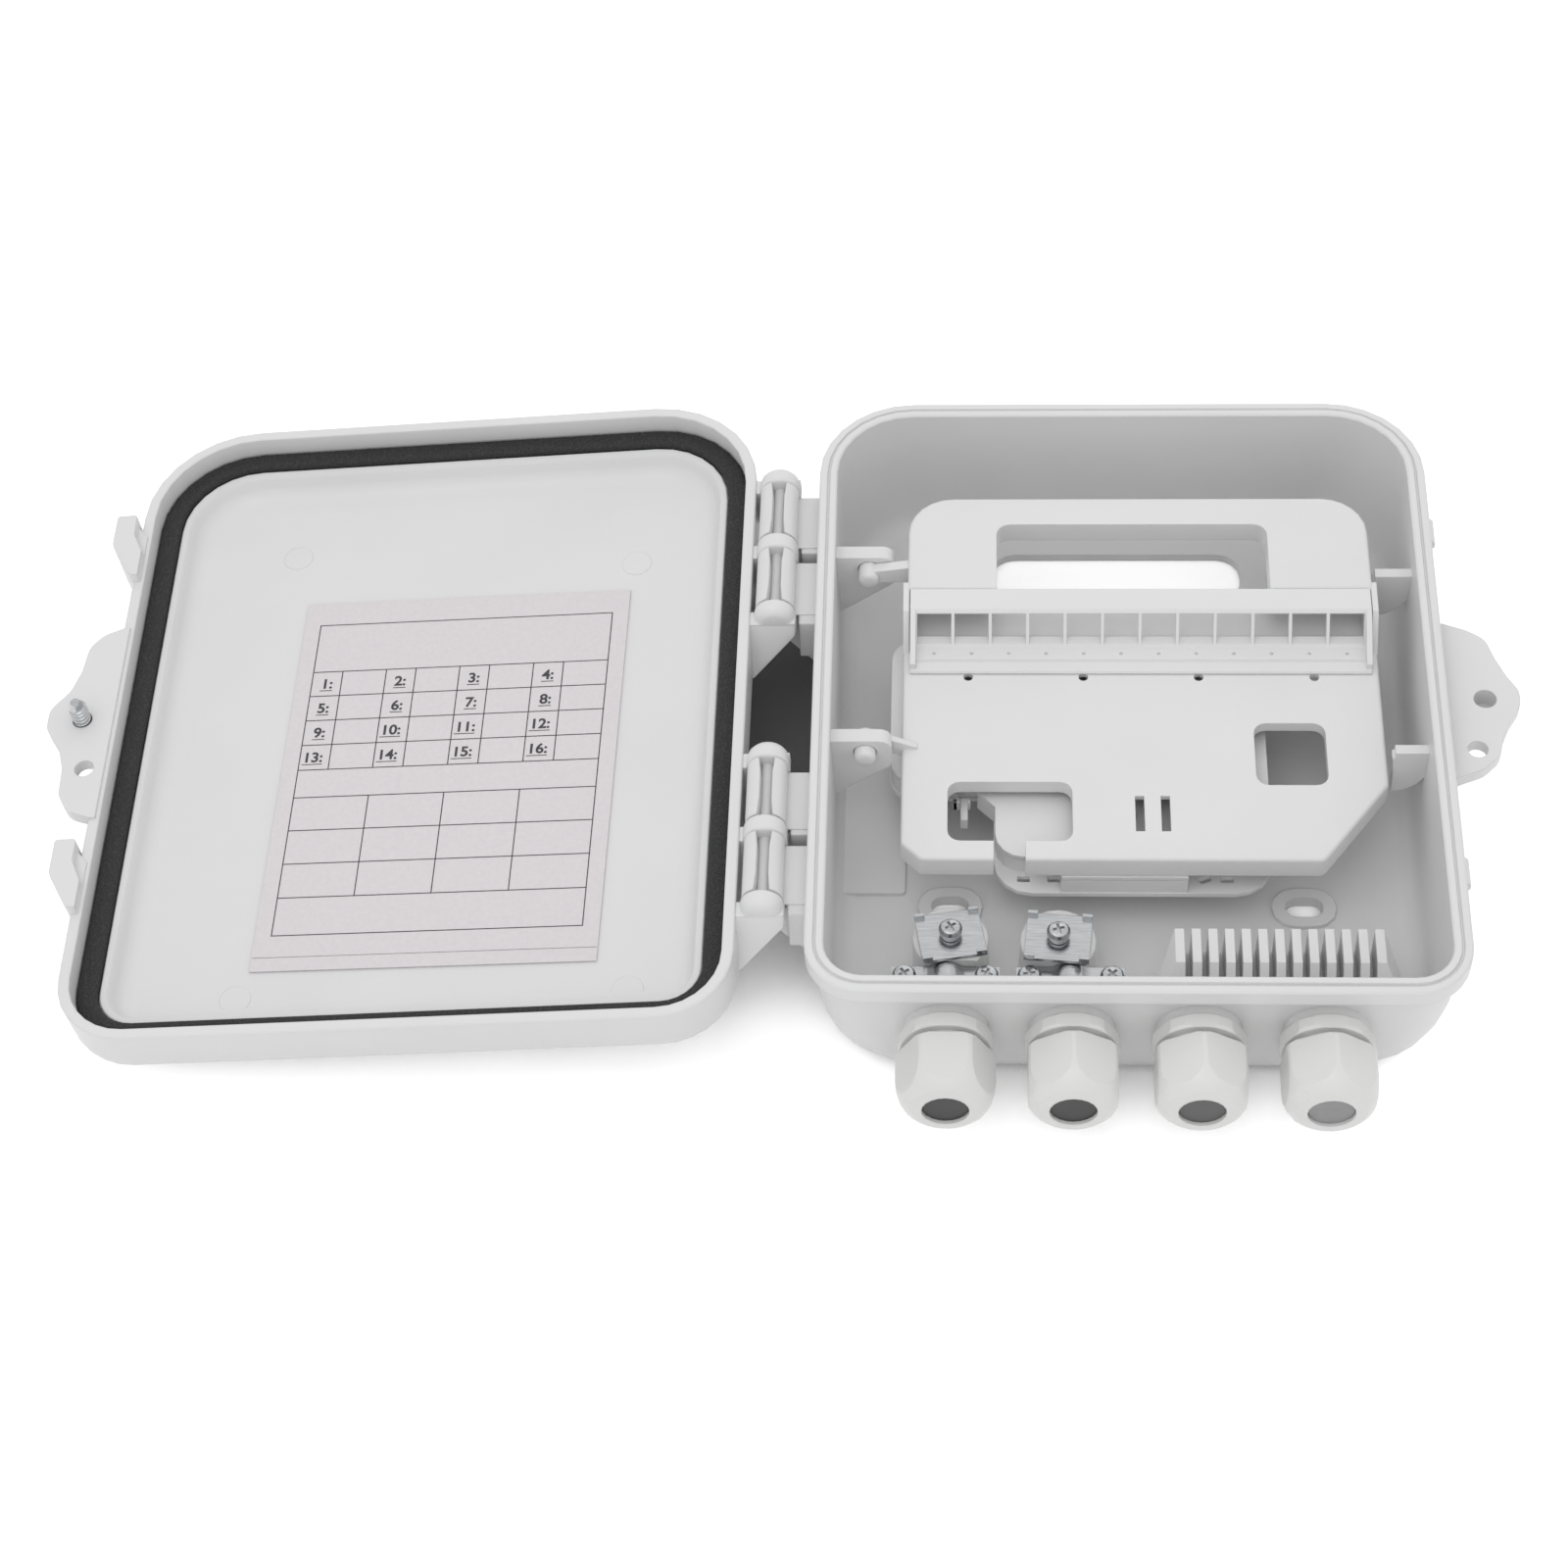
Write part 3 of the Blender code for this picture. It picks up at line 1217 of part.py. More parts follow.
def saddle(place):
    """A strip with two drilled feet and an arch between them, for the sheath of one cable."""
    outer = SADDLE_ARCH_RADIUS
    inner = outer - CLAMP_SHEET
    foot = SADDLE_SCREW_SPACING / 2 + SADDLE_BOSS_RADIUS
    bottom = SADDLE_FOOT_TOP - CLAMP_SHEET
    spring = SADDLE_TOP - outer
    outline = [(place - foot, bottom), (place - inner, bottom)]
    outline += [point for point in arc((place, spring), inner, 180.0, 0.0, 8) if point[1] > bottom]
    outline += [(place + inner, bottom), (place + foot, bottom), (place + foot, SADDLE_FOOT_TOP)]
    outline += [(place + outer, SADDLE_FOOT_TOP)]
    outline += [point for point in arc((place, spring), outer, 0.0, 180.0, 10) if point[1] > SADDLE_FOOT_TOP]
    outline += [(place - outer, SADDLE_FOOT_TOP), (place - foot, SADDLE_FOOT_TOP)]
    low = SADDLE_ROW - SADDLE_WIDTH / 2
    strip = prism(outline, low, low + SADDLE_WIDTH, "Y")
    holes = []
    for side in (-1, 1):
        centre = (place + side * SADDLE_SCREW_SPACING / 2, SADDLE_ROW)
        hole = circle(centre, SADDLE_SCREW_RADIUS + CLEARANCE, 12)
        holes.append(prism(hole, bottom - 1.0, SADDLE_FOOT_TOP + 1.0))
    return cut(strip, holes)


def build_clamps():
    for number, place in enumerate(CLAMP_PLACES, 1):
        add_part(f"clamp_plate_{number}", clamp_plate(place), "zinc_steel")
        washer_bottom = CLAMP_PLATE_TOP + CLEARANCE
        radius, thickness = CLAMP_WASHER
        bore = CLAMP_SCREW_RADIUS + CLEARANCE
        washer_top = washer_bottom + thickness
        profile = [(bore, washer_bottom), (radius, washer_bottom), (radius, washer_top), (bore, washer_top)]
        add_part(f"clamp_washer_{number}", turned(profile, 20, place, hollow=True), "zinc_steel")
        head_top = washer_top + CLEARANCE + CLAMP_SCREW_HEAD[1]
        length = head_top - CLAMP_SCREW_HEAD[1] - FLOOR_THICKNESS - 4.0
        screw = screw_form(place[:2], head_top, CLAMP_SCREW_HEAD, CLAMP_SCREW_RADIUS, length, 1.2)
        add_part(f"clamp_screw_{number}", turn_about_z(screw, place[2] + 20.0, place), "zinc_steel")
    for number, place in enumerate(SADDLE_PLACES, 1):
        add_part(f"clamp_saddle_{number}", saddle(place), "zinc_steel")
    head_top = SADDLE_FOOT_TOP + CLEARANCE + SADDLE_SCREW_HEAD[1]
    length = SADDLE_FOOT_TOP + CLEARANCE - FLOOR_THICKNESS - 4.0
    for number, place in enumerate(saddle_screw_places(), 1):
        screw = screw_form(place, head_top, SADDLE_SCREW_HEAD, SADDLE_SCREW_RADIUS, length, 1.1)
        add_part(f"bracket_screw_{number}", turn_about_z(screw, 33.0 * number, place), "zinc_steel")


# Cable glands

def hexagon(centre, flats, turn=0.0):
    """A hexagon in X and Z with a flat on top when its turn is 0."""
    radius = flats / math.sqrt(3.0)
    return [
        (centre[0] + radius * math.cos(math.radians(60.0 * index + turn)),
         centre[1] + radius * math.sin(math.radians(60.0 * index + turn)))
        for index in range(6)
    ]


def gland_body(place):
    """The threaded tube with its hexagon flange, and the clamping fingers as one tube."""
    centre = (place, 0.0, GLAND_HEIGHT)
    seat = GLAND_SEAT - CLEARANCE
    flange_end = seat - GLAND_HEX_HEIGHT
    tip = GLAND_NUT_START - GLAND_NUT_LENGTH * 0.5
    corner = GLAND_HEX_CORNERS / 2
    rim = [(corner - 0.8, seat), (corner, seat - 0.8), (corner, flange_end + 0.8), (corner - 0.8, flange_end)]
    flange = shared(
        prism(hexagon((place, GLAND_HEIGHT), GLAND_HEX), flange_end, seat, "Y"),
        turned(rim, 30, centre, "Y"),
    )
    seal_room = GLAND_OUTER_THREAD_RADIUS - GLAND_THREAD_WALL

    def cylinder(radius, start, end):
        return turned([(radius, start), (radius, end)], 18, centre, "Y")

    tube = cylinder(GLAND_THREAD_RADIUS, GLAND_THREAD_END, seat - 1.0)
    spigot = cylinder(GLAND_OUTER_THREAD_RADIUS, seat - 1.0, tip)
    bore = cylinder(GLAND_BORE_RADIUS, GLAND_THREAD_END + 1.0, tip - 1.0)
    pocket = cylinder(seal_room, GLAND_NUT_START - 1.0, tip - 1.0)
    return cut(joined(flange, [tube, spigot]), [bore, pocket])


def gland_nut(place, turn):
    """A hexagon nut that closes in a dome round its mouth."""
    centre = (place, 0.0, GLAND_HEIGHT)
    start = GLAND_NUT_START
    end = start - GLAND_NUT_LENGTH
    corner = GLAND_NUT_CORNERS / 2
    dome_start = start - GLAND_NUT_LENGTH * 0.5
    mouth_lip = GLAND_MOUTH_RADIUS + 1.5
    dome = corner - mouth_lip
    profile = [(corner - 0.8, start), (corner, start - 0.8), (corner, dome_start)]
    for step in range(1, 6):
        angle = math.radians(90.0 * step / 5)
        along = dome_start + (end - dome_start) * math.sin(angle)
        profile.append((mouth_lip + dome * math.cos(angle), along))
    solid = shared(
        turned(profile, 30, centre, "Y"),
        prism(hexagon((place, GLAND_HEIGHT), GLAND_NUT_FLATS, turn), end - 1.0, start + 1.0, "Y"),
    )
    room = GLAND_OUTER_THREAD_RADIUS + CLEARANCE
    hollow = [
        (room, start + 1.0),
        (room, dome_start - 1.0),
        (GLAND_MOUTH_RADIUS, end + GLAND_NUT_WALL + 1.5),
        (GLAND_MOUTH_RADIUS, end - 1.0),
    ]
    return cut(solid, [turned(hollow, 20, centre, "Y")])


def gland_seal(place):
    """The rubber insert: a ring in the body's pocket and a blind face in the nut's mouth."""
    centre = (place, 0.0, GLAND_HEIGHT)
    ring = GLAND_OUTER_THREAD_RADIUS - GLAND_THREAD_WALL - CLEARANCE
    face = GLAND_MOUTH_RADIUS - CLEARANCE
    seat = GLAND_NUT_START - 1.0 - CLEARANCE
    tip = GLAND_NUT_START - GLAND_NUT_LENGTH * 0.5
    end = GLAND_NUT_START - GLAND_NUT_LENGTH
    profile = [(ring, seat), (ring, tip - 1.0), (face, tip - 3.5), (face, end + 1.0)]
    return turned(profile, 20, centre, "Y")


def gland_locknut(place):
    start = GLAND_INNER_SEAT + CLEARANCE
    hexagon_form = prism(
        hexagon((place, GLAND_HEIGHT), GLAND_LOCKNUT_FLATS, 15.0), start, start + GLAND_LOCKNUT_HEIGHT, "Y"
    )
    centre = (place, 0.0, GLAND_HEIGHT)
    bore = GLAND_THREAD_RADIUS + CLEARANCE
    hole = turned([(bore, start - 1.0), (bore, start + GLAND_LOCKNUT_HEIGHT + 1.0)], 18, centre, "Y")
    return cut(hexagon_form, [hole])


def build_glands():
    for number, (place, turn) in enumerate(zip(GLAND_PLACES, GLAND_TURNS), 1):
        axis_point = (place, GLAND_NUT_START, GLAND_HEIGHT)
        add_part(f"gland_body_{number}", gland_body(place), "gland_plastic", origin=axis_point)
        add_part(f"gland_seal_{number}", gland_seal(place), "seal_rubber", origin=axis_point)
        add_part(f"gland_locknut_{number}", gland_locknut(place), "gland_plastic", origin=axis_point)
        add_part(f"gland_nut_{number}", gland_nut(place, turn), "gland_plastic", origin=axis_point)


# Lid, drawn closed

def lid_dish():
    """The lid as one loft: down the outside, round the lip, up the gasket channel and into the dish."""
    outer = LID_LIP_OVERHANG
    loops = []
    for angle in (0.0, 30.0, 60.0, 90.0):
        out = LID_EDGE_FILLET * (1.0 - math.sin(math.radians(angle)))
        drop = LID_EDGE_FILLET * (1.0 - math.cos(math.radians(angle)))
        loops.append(box_loop(outer - 0.4 - out, LID_TOP - drop))
    channel = GASKET_BACK + CLEARANCE
    gasket_inner = LIP_INNER - CLEARANCE - GASKET_WIDTH - CLEARANCE
    ridge = channel - LID_RIDGE_HEIGHT
    ridge_inner = gasket_inner - LID_RIDGE_WIDTH
    loops.append(box_loop(outer, LIP_BOTTOM + 0.4))
    loops.append(box_loop(outer - 0.4, LIP_BOTTOM))
    loops.append(box_loop(LIP_INNER + 0.3, LIP_BOTTOM))
    loops.append(box_loop(LIP_INNER, LIP_BOTTOM + 0.3))
    loops.append(box_loop(LIP_INNER, channel))
    loops.append(box_loop(gasket_inner, channel))
    loops.append(box_loop(gasket_inner, ridge + 0.4))
    loops.append(box_loop(gasket_inner - 0.4, ridge))
    loops.append(box_loop(ridge_inner, ridge))
    for angle in (90.0, 67.5, 45.0, 22.5, 0.0):
        out = LID_DISH_FILLET * (1.0 - math.sin(math.radians(angle)))
        drop = LID_DISH_FILLET * (1.0 - math.cos(math.radians(angle)))
        loops.append(box_loop(ridge_inner - 0.8 - out, LID_PANEL - drop))
    return loft(loops)


def hinge_rings():
    """The spans along Y of three rings in each group. The outer two of a group end in a dome."""
    groups = []
    for group in (HINGE_GROUP_PLACE, -HINGE_GROUP_PLACE):
        half = HINGE_RING_LENGTH / 2
        places = [group + index * HINGE_PITCH for index in (-1, 0, 1)]
        groups.append([[middle - half, middle + half] for middle in places])
        groups[-1][2][1] += HINGE_DOME_LENGTH - HINGE_RING_LENGTH
    return groups


def hinge_ring(low, high, dome_end=None):
    """A ring round the pin. Its domed end, where it has one, is the low or the high one."""
    centre = (HINGE_X, 0.0, HINGE_Z)
    radius = HINGE_RING_RADIUS
    if dome_end is None:
        return turned([(radius, low), (radius, high)], 20, centre, "Y")
    tip, foot, reach = (high, low, -HINGE_DOME_REACH) if dome_end == "high" else (low, high, HINGE_DOME_REACH)
    profile = [(radius, foot)]
    for angle in (0.0, 30.0, 60.0, 85.0):
        turn = math.radians(angle)
        drop = HINGE_DOME_DROP * (1.0 - math.cos(turn))
        profile.append((radius - drop, tip + reach * (1.0 - math.sin(turn))))
    return turned(profile, 20, centre, "Y")


def hinge_web(low, high):
    """The plate that carries a ring on the lid's side wall."""
    wall = -RIM_HALF_WIDTH - LID_LIP_OVERHANG + 2.5
    edge = HINGE_X - HINGE_RING_RADIUS
    profile = rounded(
        [
            (edge, HINGE_Z),
            (wall, HINGE_Z - 0.6),
            (wall, LID_TOP - LID_EDGE_FILLET * 0.4),
            (edge, HINGE_Z + 4.6),
        ],
        [0.0, 0.0, 0.0, 1.5],
        2,
    )
    return prism(profile, low, high, "Y")


def snap_hook(start):
    """A block that sweeps out of the lip and reaches below it, with a recess beside its tip."""
    lip = RIM_HALF_WIDTH + LID_LIP_OVERHANG
    far = lip + HOOK_STAND_OFF
    inner = far - HOOK_THICKNESS
    bend = start + HOOK_LENGTH / 2
    end = start + HOOK_LENGTH
    top = LID_TOP - LID_EDGE_FILLET - 1.5
    finger = rounded(
        [
            (lip - 2.5, start),
            (lip + 0.5, start),
            (far, bend),
            (far, end),
            (inner, end),
            (inner, bend + 5.0),
            (lip - 2.5, bend - 3.0),
        ],
        [0.0, 3.0, 8.0, 1.0, 1.0, 3.0, 0.0],
        3,
    )
    web = [(lip - 2.5, start + 6.0), (inner + 1.0, bend), (inner + 1.0, end - 1.5), (lip - 2.5, end - 7.0)]
    return joined(
        prism(finger, LIP_BOTTOM - HOOK_REACH, top),
        [prism(web, LIP_BOTTOM - 0.6, top - 0.5)],
    )


def lid_ear():
    return ear_plate(RIM_HALF_WIDTH + LID_LIP_OVERHANG - 2.4, LID_EAR_EDGE, LID_EAR_BOTTOM)


def lid_ear_cutters():
    low = LID_EAR_BOTTOM - 1.0
    high = LID_EAR_BOTTOM + EAR_THICKNESS + 1.0
    screw = prism(circle((LOCK_X, 0.0), LOCK_SCREW_RADIUS + CLEARANCE, 20), low, high)
    place = (RIM_HALF_WIDTH + SEAL_HOLE_PLACES[1], -SEAL_HOLE_SPACING)
    return [screw, prism(circle(place, SEAL_HOLE_RADIUS, 16), low, high)]


def build_lid():
    additions = [lid_ear()] + [snap_hook(start) for start in HOOK_STARTS]
    for rings in hinge_rings():
        for (low, high), dome_end in zip(rings, ("low", None, "high")):
            additions.append(hinge_ring(low, high, dome_end))
            additions.append(hinge_web(low, low + HINGE_RING_LENGTH - 0.4))
        pin_low = rings[0][0] + 1.0
        pin_high = rings[2][0] + 3.0
        additions.append(prism(circle((HINGE_X, HINGE_Z), HINGE_PIN_RADIUS, 16), pin_low, pin_high, "Y"))
    solid = cut(joined(lid_dish(), additions), lid_ear_cutters())
    add_part("lid_shell", solid, "white_plastic", "lid_axis")


def build_gasket():
    outer = LIP_INNER - CLEARANCE
    inner = outer - GASKET_WIDTH
    ring = loft(
        [
            box_loop(outer, GASKET_FACE),
            box_loop(outer, GASKET_BACK),
            box_loop(inner, GASKET_BACK),
            box_loop(inner, GASKET_FACE),
        ],
        closed_ring=True,
    )
    add_part("lid_gasket", ring, "black_rubber", "lid_axis")


def build_label():
    top = LID_PANEL - CLEARANCE
    sheet = prism(rectangle(LABEL_PLACE, (LABEL_WIDTH, LABEL_LENGTH)), top - LABEL_THICKNESS, top)
    add_part("label_sheet", turn_about_z(sheet, LABEL_TURN, LABEL_PLACE), "paper", "lid_axis")


def build_lock_screw():
    """A screw with a slotted head outside the ear, drawn with the lid closed."""
    top = LID_EAR_BOTTOM + EAR_THICKNESS + CLEARANCE
    radius = LOCK_SCREW_RADIUS
    tip = LID_EAR_BOTTOM - LOCK_SCREW_REACH
    profile = [
        (radius * 0.7, tip),
        (radius, tip + 1.2),
        (radius, top),
        (LOCK_SCREW_HEAD_RADIUS, top),
        (LOCK_SCREW_HEAD_RADIUS, top + LOCK_SCREW_HEAD_HEIGHT - 0.8),
        (LOCK_SCREW_HEAD_RADIUS - 0.8, top + LOCK_SCREW_HEAD_HEIGHT),
    ]
    head_top = top + LOCK_SCREW_HEAD_HEIGHT
    slot = box((LOCK_X - 6.0, -0.6, head_top - 1.4), (LOCK_X + 6.0, 0.6, head_top + 1.0))
    add_part("lock_screw", cut(turned(profile, 24, (LOCK_X, 0.0, 0.0)), [slot]), "zinc_steel", "lid_axis")


def main():
    clear_scene()
    make_materials()
    add_empty("lid_axis", (HINGE_X, 0.0, HINGE_Z), -LID_OPEN_ANGLE)
    add_empty("tray_axis", (TRAY_PIN_PLACE[0], 0.0, TRAY_PIN_PLACE[1]))
    build_base()
    build_comb()
    build_tray()
    build_rack()
    build_splice_tray()
    build_splice_cover()
    build_clamps()
    build_glands()
    build_lid()
    build_gasket()
    build_label()
    build_lock_screw()


main()
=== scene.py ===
"""The looks of an open fibre distribution box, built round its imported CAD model.

Lengths written in millimetres are turned to metres by MM. X runs from the hinge side to the lock side,
Y from the gland wall to the far wall, and Z out of the box.
"""

import json
import math

import bmesh
import bpy
from mathutils import Matrix, Vector


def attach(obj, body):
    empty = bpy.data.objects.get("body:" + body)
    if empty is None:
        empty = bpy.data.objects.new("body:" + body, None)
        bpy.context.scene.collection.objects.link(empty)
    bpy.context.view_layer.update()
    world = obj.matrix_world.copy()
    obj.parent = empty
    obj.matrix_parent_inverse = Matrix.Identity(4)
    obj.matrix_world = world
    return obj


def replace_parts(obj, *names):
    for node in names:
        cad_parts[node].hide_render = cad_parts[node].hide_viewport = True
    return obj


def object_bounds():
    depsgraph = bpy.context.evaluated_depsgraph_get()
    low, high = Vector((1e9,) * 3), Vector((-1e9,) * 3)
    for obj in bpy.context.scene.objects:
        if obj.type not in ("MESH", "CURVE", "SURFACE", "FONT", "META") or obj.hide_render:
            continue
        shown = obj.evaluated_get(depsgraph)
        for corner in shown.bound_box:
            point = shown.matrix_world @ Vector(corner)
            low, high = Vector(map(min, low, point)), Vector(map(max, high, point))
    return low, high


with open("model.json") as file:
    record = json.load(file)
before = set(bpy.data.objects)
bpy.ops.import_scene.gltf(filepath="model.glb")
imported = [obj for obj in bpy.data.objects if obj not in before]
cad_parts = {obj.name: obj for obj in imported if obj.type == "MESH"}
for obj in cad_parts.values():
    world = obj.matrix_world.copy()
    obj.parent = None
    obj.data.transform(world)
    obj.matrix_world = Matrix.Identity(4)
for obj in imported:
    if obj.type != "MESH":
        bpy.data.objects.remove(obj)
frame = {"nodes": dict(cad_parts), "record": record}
cad_low, cad_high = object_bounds()

MM = 0.001

# How a node's loose triangles are joined and shaded: glands keep their facets
WELD = 0.002 * MM
FLAT_WITHIN = math.radians(0.3)
SMOOTH_UNDER = math.radians(35.0)
FACET_UNDER = math.radians(20.0)
FACING_UP = 0.9

# Camera, as the photograph was taken
IMAGE_PIXELS = 1600.0
FOCAL_PIXELS = 3576.23
SENSOR_WIDTH = 36.0
CAMERA_PLACE = (-53.47, -710.17, 934.64)
CAMERA_FORWARD = (-0.05055512, 0.60309726, -0.79606399)
CAMERA_RIGHT = (0.99871867, 0.03234989, -0.03891674)
CAMERA_REACH = 20.0

# Label print, from the middle of the sheet
PRINT_HALF_WIDTH = 50.5
PRINT_TOP = 66.2
PRINT_BOTTOM = -62.4
TABLE_TOP = 45.7
TABLE_ROW = 10.4
TABLE_ROWS = 4
TABLE_GROUPS = 4
NUMBER_CELL = 10.2
FORM_TOP = -7.3
FORM_ROW = 13.45
FORM_ROWS = 3
RULE_WIDTH = 0.34
FOLD_ROW = -70.8
FOLD_HALF_WIDTH = 55.6
FOLD_WIDTH = 0.12
PRINT_THICKNESS = 0.02
PRINT_LIFT = 0.04
DIGIT_SIZE = 5.6
DIGIT_WEIGHT = 0.14
DIGIT_RISE = 3.3
DIGIT_INSETS = (3.3, 1.0)
UNDERLINE_DROP = 1.0
UNDERLINE_WIDTH = 0.3

# Lid and hinge, with the lid closed
HINGE = (-115.07, 48.8)
LID_OPEN_ANGLE = -184.82
GASKET_ROUNDING = 1.3
GASKET_RIM_OVER = math.radians(60.0)
RING_RADIUS = 6.8
RING_MARGIN = 0.03
RING_LEVEL = 0.01
RING_RIM_OVER = 1.0
RING_ROUNDING = 1.2

# Slots of the hinge clips: half their width, where their tops start above the hinge, and how they widen
SLOT_HALF_WIDTH = 2.3
SLOT_TOP_START = 3.0
SLOT_WIDENED = 1.22

# Round marks in the floor of the lid's dish, with the lid closed
DISH_FLOOR = 64.5
EJECTOR_MARKS = ((55.4, 81.4), (-64.3, 70.4), (54.2, -102.4), (-71.5, -104.9))
EJECTOR_RADIUS = 5.3
EJECTOR_TAPER = 0.2
EJECTOR_DEPTH = 0.5
EJECTOR_SINK = 0.1
EJECTOR_SEGMENTS = 40

# The wedge that spreads along the lid's side from the near end of each hinge group, with the lid open
WEDGE_FACE = (
    (-125.0, 0.1, 48.5),
    (-108.4, 0.1, 48.5),
    (-108.4, -0.8, 44.2),
    (-122.2, -8.0, 31.0),
    (-125.0, -8.0, 31.0),
)
WEDGE_BACK = 4.0
WEDGE_STARTS = (26.5, -90.5)

# Near ends of the hinge arms on the base, and how much further each reaches than its clip
ARM_ENDS = ((32.8, 3.6), (61.8, 2.0), (-84.2, 3.6), (-55.2, 2.0))
ARM_SIDES = (-107.2, -97.0)
ARM_HEIGHTS = (29.2, 46.3)
ARM_LAP = 1.0
ARM_ROUNDING = 0.5

# The small hook that holds fibres beside the opening of the splice tray
FIBRE_HOOK = (
    ((-56.2, -27.5, 19.6), (-54.7, -21.0, 24.0)),
    ((-56.2, -27.5, 19.6), (-50.5, -26.0, 24.0)),
    ((-53.8, -35.0, 19.6), (-51.4, -26.2, 24.6)),
)
HOOK_ROUNDING = 0.3

# Threads: how many steps a turn has, and the foot of a ridge as shares of the root and of the pitch
THREAD_STEPS = 24
THREAD_SINK = 0.97
THREAD_HALF_FOOT = 0.46

# Lock screw: the place of its axis, its shank, its thread and the plain tip, with the lid closed
LOCK_X = 115.0
SHANK_RADIUS = 3.0
SHANK_MARGIN = 0.1
SHANK_TOP = 51.4
SHANK_TIP = 37.2
PLAIN_TIP = 2.4
SCREW_PITCH = 1.5
SCREW_DEPTH = 0.8

# Two seals whose rubber is painted a lighter grey as a painted reflection on them, dim on one and bright on
# the other
SEAL_PAINTED_REFLECTIONS = {"gland_seal_3": "seal_with_painted_dim_reflection", "gland_seal_4": "seal_with_painted_bright_reflection"}

# Gland threads between each flange and its nut
GLAND_PLACES = (-58.1, -19.4, 19.4, 58.1)
GLAND_HEIGHT = 28.8
GLAND_ROOT = 11.35
GLAND_THREAD_SPAN = (-128.3, -125.6)
GLAND_PITCH = 1.5
GLAND_DEPTH = 0.85

# Floor between the two hinge groups, whose colour is darkened there as painted shade for the deep shade
# between lid and base: its middle along Y, half its sides, and how far its edge fades
GAP_MIDDLE = 20.0
GAP_HALF_WIDTH = 17.0
GAP_HALF_LENGTH = 60.0
GAP_FADE = 10.0
GAP_PAINTED_SHADE = "757577"

# How far off a thing shades the floor, and the openness between which the floor turns white
SHADE_REACH = 100.0
SHADOW_OPENS = (0.12, 0.3)
GAP_OPENS = (0.45, 0.65)

# Studio, in metres and watts: each lamp's name, place, side and power
LAMPS = (
    ("key", (-0.5, -0.4, 1.7), 1.2, 3.4),
    ("front", (-0.1, -1.2, 1.5), 1.6, 2.9),
    ("back", (0.1, 1.5, 1.2), 1.2, 1.7),
)
LAMP_TARGET = (-0.1, 0.0, 0.03)
FLOOR_HALF_SIZE = 6.0
FLOOR_CLEARANCE = 0.2
FLOOR_LIFT = 0.5
SURROUND_LIGHT = 0.83
SURROUND_SEEN = 1.0


def linear(code):
    """An sRGB hex colour as the linear values that a shader takes."""
    channels = [int(code[place:place + 2], 16) / 255 for place in (0, 2, 4)]
    return (*(c / 12.92 if c <= 0.04045 else ((c + 0.055) / 1.055) ** 2.4 for c in channels), 1.0)


def add_node(tree, kind, inputs=(), **settings):
    """A node with its settings. Inputs are (socket, value or the output that feeds it) pairs."""
    node = tree.nodes.new(kind)
    for name, value in settings.items():
        setattr(node, name, value)
    for socket, source in inputs:
        if isinstance(source, bpy.types.NodeSocket):
            tree.links.new(source, node.inputs[socket])
        else:
            node.inputs[socket].default_value = source
    return node


def start_material(name):
    """A new material, its nodes, its shader and its pattern coordinates in metres on the object."""
    material = bpy.data.materials.new(name)
    material.use_nodes = True
    tree = material.node_tree
    shader = tree.nodes["Principled BSDF"]
    place = add_node(tree, "ShaderNodeTexCoord").outputs["Object"]
    return material, tree, shader, place


def moulded_plastic(name, colour, shade, roughness, grain, grain_height, edge):
    """An opaque moulding: a faint cloudiness in the colour, an eroded grain and softly broken edges.

    The real grain is finer, and it's drawn coarse enough to show.
    """
    material, tree, shader, place = start_material(name)
    cloud = add_node(
        tree, "ShaderNodeTexNoise", [("Vector", place), ("Scale", 1 / (38 * MM)), ("Detail", 3.0)]
    )
    tint = add_node(
        tree,
        "ShaderNodeMix",
        [(0, cloud.outputs[0]), (6, linear(shade)), (7, linear(colour))],
        data_type="RGBA",
    )
    tree.links.new(tint.outputs[2], shader.inputs["Base Color"])
    patch = add_node(
        tree, "ShaderNodeTexNoise", [("Vector", place), ("Scale", 1 / (9 * MM)), ("Detail", 2.0)]
    )
    gloss = add_node(
        tree,
        "ShaderNodeMapRange",
        [(0, patch.outputs[0]), (3, roughness - 0.05), (4, roughness + 0.05)],
    )
    tree.links.new(gloss.outputs[0], shader.inputs["Roughness"])
    soft_edge = add_node(tree, "ShaderNodeBevel", [("Radius", edge * MM)], samples=4)
    flow = add_node(
        tree, "ShaderNodeTexNoise", [("Vector", place), ("Scale", 1 / (22 * MM)), ("Detail", 1.0)]
    )
    sink = add_node(
        tree,
        "ShaderNodeBump",
        [
            ("Height", flow.outputs[0]),
            ("Distance", 0.12 * MM),
            ("Strength", 0.5),
            ("Normal", soft_edge.outputs[0]),
        ],
    )
    spark = add_node(
        tree, "ShaderNodeTexNoise", [("Vector", place), ("Scale", 1 / (grain * MM)), ("Detail", 2.0)]
    )
    texture = add_node(
        tree,
        "ShaderNodeBump",
        [
            ("Height", spark.outputs[0]),
            ("Distance", grain_height * MM),
            ("Strength", 0.6),
            ("Normal", sink.outputs[0]),
        ],
    )
    tree.links.new(texture.outputs[0], shader.inputs["Normal"])
    return material


